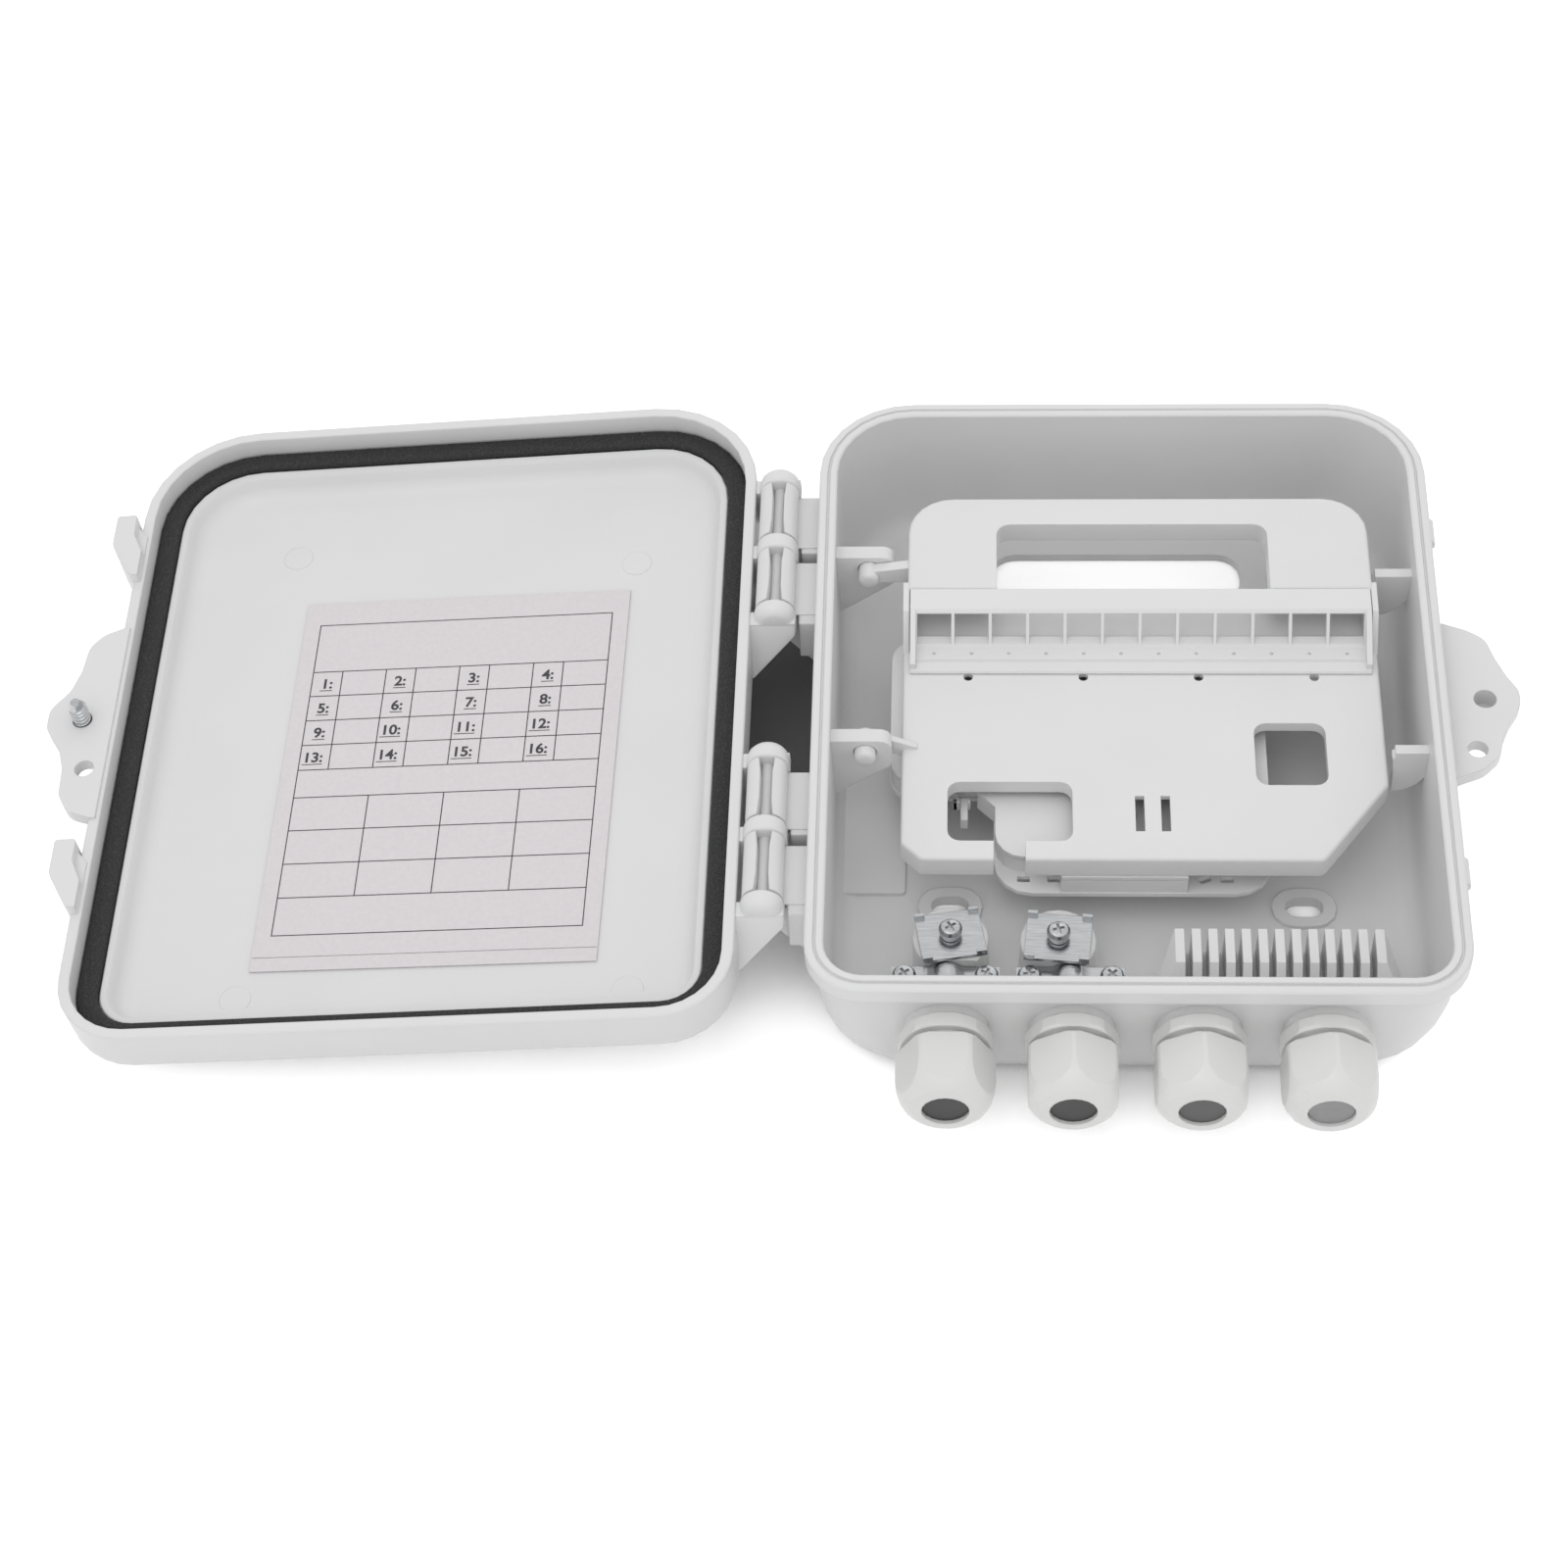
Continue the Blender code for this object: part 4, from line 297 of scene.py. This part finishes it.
def zinc_plate():
    """Bright zinc plate on pressed steel: a cool metal whose sheen breaks up in rolled lines.

    The real lines are finer, and they're drawn coarse enough to show.
    """
    material, tree, shader, place = start_material("bright_zinc_plated_steel")
    shader.inputs["Metallic"].default_value = 1.0
    lines = add_node(tree, "ShaderNodeMapping", [("Vector", place), ("Scale", (1.0, 9.0, 1.0))])
    rolled = add_node(
        tree,
        "ShaderNodeTexNoise",
        [("Vector", lines.outputs[0]), ("Scale", 1 / (6 * MM)), ("Detail", 4.0)],
    )
    tint = add_node(
        tree,
        "ShaderNodeMix",
        [(0, rolled.outputs[0]), (6, linear("9C9EA0")), (7, linear("C6C8CA"))],
        data_type="RGBA",
    )
    tree.links.new(tint.outputs[2], shader.inputs["Base Color"])
    gloss = add_node(tree, "ShaderNodeMapRange", [(0, rolled.outputs[0]), (3, 0.17), (4, 0.3)])
    tree.links.new(gloss.outputs[0], shader.inputs["Roughness"])
    soft_edge = add_node(tree, "ShaderNodeBevel", [("Radius", 0.25 * MM)], samples=4)
    scratch = add_node(
        tree,
        "ShaderNodeBump",
        [
            ("Height", rolled.outputs[0]),
            ("Distance", 0.02 * MM),
            ("Strength", 0.3),
            ("Normal", soft_edge.outputs[0]),
        ],
    )
    tree.links.new(scratch.outputs[0], shader.inputs["Normal"])
    return material


def foam_rubber():
    """Closed-cell EPDM strip: matt black, with pores that are drawn large enough to show."""
    material, tree, shader, place = start_material("closed_cell_epdm_foam")
    pores = add_node(tree, "ShaderNodeTexVoronoi", [("Vector", place), ("Scale", 1 / (0.7 * MM))])
    tint = add_node(
        tree,
        "ShaderNodeMix",
        [(0, pores.outputs[0]), (6, linear("1C1C1D")), (7, linear("3A3A3B"))],
        data_type="RGBA",
    )
    tree.links.new(tint.outputs[2], shader.inputs["Base Color"])
    shader.inputs["Roughness"].default_value = 0.72
    shader.inputs["Specular IOR Level"].default_value = 0.35
    soft_edge = add_node(tree, "ShaderNodeBevel", [("Radius", 0.9 * MM)], samples=4)
    cells = add_node(
        tree,
        "ShaderNodeBump",
        [
            ("Height", pores.outputs[0]),
            ("Distance", 0.2 * MM),
            ("Strength", 0.7),
            ("Normal", soft_edge.outputs[0]),
        ],
    )
    tree.links.new(cells.outputs[0], shader.inputs["Normal"])
    return material


def nitrile_rubber(name, dark, pale):
    """A moulded nitrile insert: nearly black, with a bloom of talc in cloudy smears; lighter greys given to
    it are a painted reflection.
    """
    material, tree, shader, place = start_material(name)
    smear = add_node(
        tree, "ShaderNodeTexNoise", [("Vector", place), ("Scale", 1 / (4 * MM)), ("Detail", 5.0)]
    )
    tint = add_node(
        tree,
        "ShaderNodeMix",
        [(0, smear.outputs[0]), (6, linear(dark)), (7, linear(pale))],
        data_type="RGBA",
    )
    tree.links.new(tint.outputs[2], shader.inputs["Base Color"])
    gloss = add_node(tree, "ShaderNodeMapRange", [(0, smear.outputs[0]), (3, 0.32), (4, 0.6)])
    tree.links.new(gloss.outputs[0], shader.inputs["Roughness"])
    relief = add_node(
        tree,
        "ShaderNodeBump",
        [("Height", smear.outputs[0]), ("Distance", 0.05 * MM), ("Strength", 0.5)],
    )
    tree.links.new(relief.outputs[0], shader.inputs["Normal"])
    return material


def coated_paper():
    """Self-adhesive paper with a faint pink cast: soft fibres in the colour and a slight ripple."""
    material, tree, shader, place = start_material("self_adhesive_coated_paper")
    fibres = add_node(
        tree, "ShaderNodeTexNoise", [("Vector", place), ("Scale", 1 / (1.5 * MM)), ("Detail", 6.0)]
    )
    tint = add_node(
        tree,
        "ShaderNodeMix",
        [(0, fibres.outputs[0]), (6, linear("D1CBCE")), (7, linear("DEDADC"))],
        data_type="RGBA",
    )
    tree.links.new(tint.outputs[2], shader.inputs["Base Color"])
    shader.inputs["Roughness"].default_value = 0.62
    ripple = add_node(
        tree, "ShaderNodeTexNoise", [("Vector", place), ("Scale", 1 / (30 * MM)), ("Detail", 1.0)]
    )
    relief = add_node(
        tree,
        "ShaderNodeBump",
        [("Height", ripple.outputs[0]), ("Distance", 0.3 * MM), ("Strength", 0.4)],
    )
    tree.links.new(relief.outputs[0], shader.inputs["Normal"])
    return material


def printing_ink():
    """Black ink that soaks into the paper unevenly, so it's a soft dark grey and not pure black."""
    material, tree, shader, place = start_material("black_printing_ink")
    soak = add_node(
        tree, "ShaderNodeTexNoise", [("Vector", place), ("Scale", 1 / (0.8 * MM)), ("Detail", 3.0)]
    )
    tint = add_node(
        tree,
        "ShaderNodeMix",
        [(0, soak.outputs[0]), (6, linear("232326")), (7, linear("4A4A4E"))],
        data_type="RGBA",
    )
    tree.links.new(tint.outputs[2], shader.inputs["Base Color"])
    shader.inputs["Roughness"].default_value = 0.6
    return material


def seen_rays(tree):
    """One for what is seen, straight, in a gloss or through glass, and nought for what lights."""
    path = add_node(tree, "ShaderNodeLightPath").outputs
    seen = path["Is Camera Ray"]
    for ray in ("Is Glossy Ray", "Is Transmission Ray"):
        seen = add_node(tree, "ShaderNodeMath", [(0, seen), (1, path[ray])], operation="MAXIMUM").outputs[0]
    return seen


def studio_floor():
    """A pale sweep, seen as white, that keeps the box's shadow, with painted shade in its colour in the
    hinge gap.
    """
    material, tree, shader, place = start_material("white_sweep")
    shader.inputs["Roughness"].default_value = 0.9
    shader.inputs["Specular IOR Level"].default_value = 0.1
    grain = add_node(
        tree, "ShaderNodeTexNoise", [("Vector", place), ("Scale", 1 / (80 * MM)), ("Detail", 2.0)]
    )
    tint = add_node(
        tree,
        "ShaderNodeMix",
        [(0, grain.outputs[0]), (6, linear("EFEFEF")), (7, linear("F4F4F4"))],
        data_type="RGBA",
    )
    around = add_node(tree, "ShaderNodeAmbientOcclusion", [("Distance", SHADE_REACH * MM)], samples=16)
    clear, open_floor = [
        add_node(tree, "ShaderNodeMapRange", [(0, around.outputs["AO"]), (1, low), (2, high)]).outputs[0]
        for low, high in (SHADOW_OPENS, GAP_OPENS)
    ]
    split = add_node(tree, "ShaderNodeSeparateXYZ", [(0, place)])
    spans = ((HINGE[0], GAP_HALF_WIDTH), (GAP_MIDDLE, GAP_HALF_LENGTH))
    outside = []
    for axis, (middle, half) in enumerate(spans):
        off = add_node(
            tree, "ShaderNodeMath", [(0, split.outputs[axis]), (1, middle * MM)], operation="SUBTRACT"
        )
        away = add_node(tree, "ShaderNodeMath", [(0, off.outputs[0])], operation="ABSOLUTE")
        fade = [(0, away.outputs[0]), (1, half * MM), (2, (half + GAP_FADE) * MM)]
        outside.append(add_node(tree, "ShaderNodeMapRange", fade).outputs[0])
    white = open_floor
    for share in outside:
        white = add_node(tree, "ShaderNodeMath", [(0, white), (1, share)], operation="MAXIMUM").outputs[0]
    # Painted shade: within the hinge gap, where the floor is closed in, its colour is darkened
    shaded = add_node(
        tree,
        "ShaderNodeMix",
        [(0, white), (6, linear(GAP_PAINTED_SHADE)), (7, tint.outputs[2])],
        data_type="RGBA",
    )
    tree.links.new(shaded.outputs[2], shader.inputs["Base Color"])
    lift = seen_rays(tree)
    for share in (clear, white, FLOOR_LIFT):
        lift = add_node(tree, "ShaderNodeMath", [(0, lift), (1, share)], operation="MULTIPLY").outputs[0]
    shader.inputs["Emission Color"].default_value = (1.0, 1.0, 1.0, 1.0)
    tree.links.new(lift, shader.inputs["Emission Strength"])
    return material


materials = {
    # Satin light grey of the case and lid
    "white_plastic": moulded_plastic("abs_case_moulding", "DFDFDF", "D9D9D9", 0.42, 0.6, 0.012, 0.45),
    # The tray's mouldings are a shade paler and a little glossier
    "inner_plastic": moulded_plastic("abs_tray_moulding", "E1E1E1", "DBDBDB", 0.38, 0.8, 0.008, 0.35),
    # The glands' polyamide is warmer and the glossiest, with rounder edges
    "gland_plastic": moulded_plastic(
        "polyamide_gland_moulding", "DEDEDD", "D8D8D7", 0.3, 1.2, 0.006, 0.6
    ),
    "black_rubber": foam_rubber(),
    # Two inserts are plain; the other two are painted lighter greys as painted reflections, one dim and one
    # bright
    "seal_rubber": nitrile_rubber("nitrile_insert", "1E1E1F", "343435"),
    "seal_with_painted_dim_reflection": nitrile_rubber("nitrile_insert_painted_dim_reflection", "404041", "5A5A5B"),
    "seal_with_painted_bright_reflection": nitrile_rubber("nitrile_insert_painted_bright_reflection", "7C7C7D", "969697"),
    "zinc_steel": zinc_plate(),
    "paper": coated_paper(),
    "ink": printing_ink(),
}


def welded_copy(node):
    """The node's solid with its loose triangles joined, so that its round faces shade smoothly."""
    form = bmesh.new()
    form.from_mesh(frame["nodes"][node].data)
    bmesh.ops.remove_doubles(form, verts=form.verts, dist=WELD)
    bmesh.ops.dissolve_limit(form, angle_limit=FLAT_WITHIN, verts=form.verts, edges=form.edges)
    return form


def finish_piece(form, name, body, slot, smooth_under=SMOOTH_UNDER):
    """The mesh as a piece of the object that rides on a body and has its slot's material."""
    mesh = bpy.data.meshes.new(name)
    form.to_mesh(mesh)
    form.free()
    if "custom_normal" in mesh.attributes:
        mesh.attributes.remove(mesh.attributes["custom_normal"])
    mesh.materials.clear()
    mesh.materials.append(materials[slot])
    mesh.shade_smooth()
    mesh.set_sharp_from_angle(angle=smooth_under)
    piece = bpy.data.objects.new(name, mesh)
    bpy.context.scene.collection.objects.link(piece)
    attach(piece, body)
    return piece


node_slot = {part["node"]: part["material_slot"] for part in frame["record"]["subparts"]}
bodies = frame["record"]["behaviour"]["bodies"]
node_body = {node: body for body, nodes in bodies.items() for node in nodes}


def dress_node(node):
    """The node's own form, welded and given its finish."""
    slot = node_slot[node]
    smooth_under = FACET_UNDER if slot == "gland_plastic" else SMOOTH_UNDER
    piece = finish_piece(welded_copy(node), node + "_finished", node_body[node], slot, smooth_under)
    # Two seals take lighter greys, painted for the reflections on them
    if node in SEAL_PAINTED_REFLECTIONS:
        piece.data.materials[0] = materials[SEAL_PAINTED_REFLECTIONS[node]]
    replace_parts(piece, node)


def label_places():
    """The middle of the label's face, and the directions across it, up it and off it."""
    sheet = frame["nodes"]["label_sheet"].data
    top = [face for face in sheet.polygons if face.normal.z > FACING_UP]
    corners = [sheet.vertices[index].co.copy() for face in top for index in face.vertices]
    near_left = min(corners, key=lambda c: c.x + c.y)
    near_right = min(corners, key=lambda c: c.y - c.x)
    far_left = min(corners, key=lambda c: c.x - c.y)
    across = (near_right - near_left).normalized()
    up = (far_left - near_left).normalized()
    return (near_right + far_left) / 2, across, up, across.cross(up).normalized()


def rule(form, start, end, width=RULE_WIDTH):
    """One printed line between two points of the label, given in millimetres."""
    a, b = Vector(start), Vector(end)
    reach = b - a
    middle = (a + b) / 2
    size = Matrix.Diagonal((reach.length + width, width, PRINT_THICKNESS, 1.0))
    turn = Matrix.Rotation(math.atan2(reach.y, reach.x), 4, "Z")
    place = Matrix.Translation((middle.x, middle.y, PRINT_THICKNESS / 2))
    bmesh.ops.create_cube(form, size=1.0, matrix=place @ turn @ size)


def rules():
    """The ruled table: a frame, four by four numbered cells and a form below."""
    form = bmesh.new()
    left, right = -PRINT_HALF_WIDTH, PRINT_HALF_WIDTH
    table_bottom = TABLE_TOP - TABLE_ROW * TABLE_ROWS
    form_bottom = FORM_TOP - FORM_ROW * FORM_ROWS
    rows = [PRINT_TOP, PRINT_BOTTOM]
    rows += [TABLE_TOP - TABLE_ROW * row for row in range(TABLE_ROWS + 1)]
    rows += [FORM_TOP - FORM_ROW * row for row in range(FORM_ROWS + 1)]
    for row in rows:
        rule(form, (left, row), (right, row))
    for side in (left, right):
        rule(form, (side, PRINT_BOTTOM), (side, PRINT_TOP))
    group = 2 * PRINT_HALF_WIDTH / TABLE_GROUPS
    for index in range(TABLE_GROUPS):
        start = left + group * index
        rule(form, (start + NUMBER_CELL, table_bottom), (start + NUMBER_CELL, TABLE_TOP))
        if index:
            rule(form, (start, table_bottom), (start, TABLE_TOP))
            rule(form, (start, form_bottom), (start, FORM_TOP))
    rule(form, (-FOLD_HALF_WIDTH, FOLD_ROW), (FOLD_HALF_WIDTH, FOLD_ROW), FOLD_WIDTH)
    return form


def number_mesh(text, place):
    """One number of the table as flat faces, with its lower left corner at the place."""
    curve = bpy.data.curves.new("number", "FONT")
    curve.body = text
    curve.size = DIGIT_SIZE
    curve.offset = DIGIT_WEIGHT
    curve.extrude = PRINT_THICKNESS / 2
    item = bpy.data.objects.new("number", curve)
    bpy.context.scene.collection.objects.link(item)
    bpy.context.view_layer.update()
    mesh = item.evaluated_get(bpy.context.evaluated_depsgraph_get()).to_mesh().copy()
    bpy.data.objects.remove(item)
    bpy.data.curves.remove(curve)
    mesh.transform(Matrix.Translation((*place, PRINT_THICKNESS / 2)))
    return mesh


def add_label_print():
    """The ruled lines and the plain numbers 1 to 16, a hair above the label's face."""
    form = rules()
    group = 2 * PRINT_HALF_WIDTH / TABLE_GROUPS
    for index in range(TABLE_ROWS * TABLE_GROUPS):
        row, column = divmod(index, TABLE_GROUPS)
        text = "%d:" % (index + 1)
        x = -PRINT_HALF_WIDTH + group * column + DIGIT_INSETS[len(text) - 2]
        y = TABLE_TOP - TABLE_ROW * (row + 1) + DIGIT_RISE
        mesh = number_mesh(text, (x, y))
        width = max(vertex.co.x for vertex in mesh.vertices) - x
        form.from_mesh(mesh)
        bpy.data.meshes.remove(mesh)
        low = y - UNDERLINE_DROP
        rule(form, (x, low), (x + width, low), UNDERLINE_WIDTH)
    middle, across, up, off = label_places()
    place = Matrix((across, up, off)).transposed().to_4x4()
    place.translation = middle + off * PRINT_LIFT * MM
    bmesh.ops.transform(form, matrix=place @ Matrix.Scale(MM, 4), verts=form.verts)
    piece = finish_piece(form, "label_print", "lid", "paper")
    piece.data.materials[0] = materials["ink"]


def opened():
    """The place in metres, with the lid open, of a point in millimetres of the closed lid."""
    axis = Vector((HINGE[0], 0.0, HINGE[1]))
    turn = Matrix.Rotation(math.radians(LID_OPEN_ANGLE), 4, "Y")
    return Matrix.Scale(MM, 4) @ Matrix.Translation(axis) @ turn @ Matrix.Translation(-axis)


def wind_thread(form, foot, axis, root, depth, pitch, length):
    """A triangular ridge, wound round an axis from its foot."""
    side = axis.orthogonal().normalized()
    turns = length / pitch
    sunk, half = root * THREAD_SINK, pitch * THREAD_HALF_FOOT
    ridge = ((sunk, -half), (root + depth, 0.0), (sunk, half))
    verts = [form.verts.new(foot + side * out + axis * along) for out, along in ridge]
    face = form.faces.new(verts)
    bmesh.ops.spin(
        form,
        geom=[face],
        cent=foot,
        axis=axis,
        dvec=axis * pitch / THREAD_STEPS,
        angle=2 * math.pi * turns,
        steps=round(THREAD_STEPS * turns),
    )


def dress_lock_screw():
    """The screw with its plain shank drawn in to the root of a wound thread."""
    form = welded_copy("lock_screw")
    bmesh.ops.transform(form, matrix=opened().inverted(), verts=form.verts)
    axis = Vector((LOCK_X, 0.0, 0.0))
    reach = SHANK_RADIUS + SHANK_MARGIN
    shank = [
        vertex for vertex in form.verts
        if vertex.co.z < SHANK_TOP and (vertex.co.xy - axis.xy).length < reach
    ]
    root = SHANK_RADIUS - SCREW_DEPTH
    shrink = root / SHANK_RADIUS
    bmesh.ops.scale(form, vec=(shrink, shrink, 1.0), space=Matrix.Translation(-axis), verts=shank)
    foot = axis + Vector((0.0, 0.0, SHANK_TIP + PLAIN_TIP))
    length = SHANK_TOP - foot.z - SCREW_PITCH
    wind_thread(form, foot, Vector((0.0, 0.0, 1.0)), root, SCREW_DEPTH, SCREW_PITCH, length)
    bmesh.ops.recalc_face_normals(form, faces=form.faces)
    bmesh.ops.transform(form, matrix=opened(), verts=form.verts)
    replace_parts(finish_piece(form, "lock_screw_finished", "lock_screw", "zinc_steel"), "lock_screw")


def add_gland_threads():
    """The last turns of each gland's thread, which show between its flange and its nut."""
    for number, x in enumerate(GLAND_PLACES, 1):
        form = bmesh.new()
        foot = Vector((x, GLAND_THREAD_SPAN[0], GLAND_HEIGHT))
        length = GLAND_THREAD_SPAN[1] - GLAND_THREAD_SPAN[0]
        wind_thread(form, foot, Vector((0.0, 1.0, 0.0)), GLAND_ROOT, GLAND_DEPTH, GLAND_PITCH, length)
        bmesh.ops.recalc_face_normals(form, faces=form.faces)
        bmesh.ops.scale(form, vec=(MM, MM, MM), verts=form.verts)
        finish_piece(form, "gland_thread_%d" % number, "base", "gland_plastic")


def soften(form, edges, offset):
    """Rounds the edges off."""
    bmesh.ops.bevel(
        form, geom=edges, offset=offset, segments=3, profile=0.5, affect="EDGES", material=-1
    )


def dress_gasket():
    """The gasket with the long edges of its face rounded, as a foam cord's are."""
    form = welded_copy("lid_gasket")
    face_edges = {edge for face in form.faces if face.normal.z > FACING_UP for edge in face.edges}
    rims = [edge for edge in face_edges if edge.calc_face_angle(0.0) > GASKET_RIM_OVER]
    soften(form, rims, GASKET_ROUNDING * MM)
    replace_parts(finish_piece(form, "lid_gasket_finished", "lid", "black_rubber"), "lid_gasket")


def on_ring_rim(edge):
    """Whether an edge of the lid runs round the end of a hinge ring."""
    ends = [vertex.co / MM for vertex in edge.verts]
    reach = [math.hypot(end.x - HINGE[0], end.z - HINGE[1]) for end in ends]
    level = abs(ends[0].y - ends[1].y) < RING_LEVEL
    round_the_ring = all(abs(r - RING_RADIUS) < RING_MARGIN for r in reach)
    return level and round_the_ring and edge.calc_face_angle(0.0) > RING_RIM_OVER


def dress_lid():
    """The lid with the rims of its hinge rings rounded."""
    form = welded_copy("lid_shell")
    soften(form, [edge for edge in form.edges if on_ring_rim(edge)], RING_ROUNDING * MM)
    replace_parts(finish_piece(form, "lid_shell_finished", "lid", "white_plastic"), "lid_shell")


def dress_base():
    """The base with the slots of its hinge clips a little wider at the top, where the pins snap in."""
    form = welded_copy("base_shell")
    for vertex in form.verts:
        off = vertex.co.x - HINGE[0] * MM
        if vertex.co.z > (HINGE[1] + SLOT_TOP_START) * MM and abs(off) < SLOT_HALF_WIDTH * MM:
            vertex.co.x += off * (SLOT_WIDENED - 1.0)
    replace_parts(finish_piece(form, "base_shell_finished", "base", "white_plastic"), "base_shell")


def add_block(form, low, high, rounding):
    """A block between two corners, with its edges rounded off."""
    size = Vector(high) - Vector(low)
    place = Matrix.Translation((Vector(low) + Vector(high)) / 2)
    block = bmesh.ops.create_cube(form, size=1.0, matrix=place @ Matrix.Diagonal((*size, 1.0)))
    soften(form, list({edge for vertex in block["verts"] for edge in vertex.link_edges}), rounding)


def add_hinge_wedges():
    """The wedge at the near end of each hinge group, which spreads down the side of the open lid."""
    form = bmesh.new()
    for start in WEDGE_STARTS:
        face = [form.verts.new((x, start + y, z)) for x, y, z in WEDGE_FACE]
        back = [form.verts.new((x, start + WEDGE_BACK, z)) for x, y, z in WEDGE_FACE]
        bmesh.ops.convex_hull(form, input=face + back)
    bmesh.ops.scale(form, vec=(MM, MM, MM), verts=form.verts)
    bmesh.ops.recalc_face_normals(form, faces=form.faces)
    finish_piece(form, "lid_hinge_wedges", "lid", "white_plastic")


def add_arm_ends():
    """The near ends of the hinge arms, which reach a little further than the clips that they carry."""
    form = bmesh.new()
    for start, longer in ARM_ENDS:
        low = (ARM_SIDES[0], start - longer, ARM_HEIGHTS[0])
        high = (ARM_SIDES[1], start + ARM_LAP, ARM_HEIGHTS[1])
        add_block(form, low, high, ARM_ROUNDING)
    bmesh.ops.scale(form, vec=(MM, MM, MM), verts=form.verts)
    finish_piece(form, "base_hinge_arm_ends", "base", "white_plastic")


def add_fibre_hook():
    """The bent finger that keeps fibres down where they enter the splice tray."""
    form = bmesh.new()
    for low, high in FIBRE_HOOK:
        add_block(form, low, high, HOOK_ROUNDING)
    bmesh.ops.scale(form, vec=(MM, MM, MM), verts=form.verts)
    finish_piece(form, "tray_fibre_hook", "tray", "inner_plastic")


def add_ejector_marks():
    """The four faint round marks that ejector pins leave in the floor of the dish."""
    form = bmesh.new()
    for x, y in EJECTOR_MARKS:
        bmesh.ops.create_cone(
            form,
            cap_ends=True,
            segments=EJECTOR_SEGMENTS,
            radius1=EJECTOR_RADIUS - EJECTOR_TAPER,
            radius2=EJECTOR_RADIUS,
            depth=EJECTOR_DEPTH,
            matrix=Matrix.Translation((x, y, DISH_FLOOR + EJECTOR_SINK)),
        )
    bmesh.ops.transform(form, matrix=opened(), verts=form.verts)
    finish_piece(form, "lid_ejector_marks", "lid", "white_plastic")


def add_camera():
    """The camera at the photograph's place and angle, with its focal length."""
    forward, right = Vector(CAMERA_FORWARD), Vector(CAMERA_RIGHT)
    turn = Matrix((right, right.cross(forward), -forward)).transposed().to_4x4()
    data = bpy.data.cameras.new("camera")
    data.sensor_width = SENSOR_WIDTH
    data.lens = FOCAL_PIXELS * SENSOR_WIDTH / IMAGE_PIXELS
    data.clip_end = CAMERA_REACH
    camera = bpy.data.objects.new("camera", data)
    camera.matrix_world = Matrix.Translation(Vector(CAMERA_PLACE) * MM) @ turn
    bpy.context.scene.collection.objects.link(camera)
    bpy.context.scene.camera = camera


def add_lamp(name, place, size, power):
    """A square soft box that faces the middle of the object."""
    data = bpy.data.lights.new(name, "AREA")
    data.shape = "SQUARE"
    data.size = size
    data.energy = power
    lamp = bpy.data.objects.new(name, data)
    lamp.location = place
    lamp.rotation_euler = (Vector(LAMP_TARGET) - Vector(place)).to_track_quat("-Z", "Y").to_euler()
    bpy.context.scene.collection.objects.link(lamp)


def add_studio():
    """A wide white floor, three soft boxes and a pale surround."""
    form = bmesh.new()
    bmesh.ops.create_grid(form, x_segments=2, y_segments=2, size=FLOOR_HALF_SIZE)
    bmesh.ops.translate(form, verts=form.verts, vec=(0.0, 0.0, cad_low[2] - FLOOR_CLEARANCE * MM))
    mesh = bpy.data.meshes.new("floor")
    form.to_mesh(mesh)
    form.free()
    mesh.materials.append(studio_floor())
    floor = bpy.data.objects.new("floor", mesh)
    bpy.context.scene.collection.objects.link(floor)
    for name, place, size, power in LAMPS:
        add_lamp(name, place, size, power)
    world = bpy.data.worlds.new("surround")
    bpy.context.scene.world = world
    world.use_nodes = True
    tree = world.node_tree
    strength = add_node(
        tree, "ShaderNodeMapRange", [(0, seen_rays(tree)), (3, SURROUND_LIGHT), (4, SURROUND_SEEN)]
    )
    background = tree.nodes["Background"]
    background.inputs["Color"].default_value = (1.0, 1.0, 1.0, 1.0)
    tree.links.new(strength.outputs[0], background.inputs["Strength"])


own_dressing = {
    "base_shell": dress_base,
    "lid_shell": dress_lid,
    "lock_screw": dress_lock_screw,
    "lid_gasket": dress_gasket,
}

bpy.context.scene.view_settings.view_transform = "Standard"
for node_name in sorted(frame["nodes"]):
    if node_name not in own_dressing:
        dress_node(node_name)
for dress in own_dressing.values():
    dress()
add_gland_threads()
add_hinge_wedges()
add_arm_ends()
add_fibre_hook()
add_ejector_marks()
add_label_print()
add_camera()
add_studio()
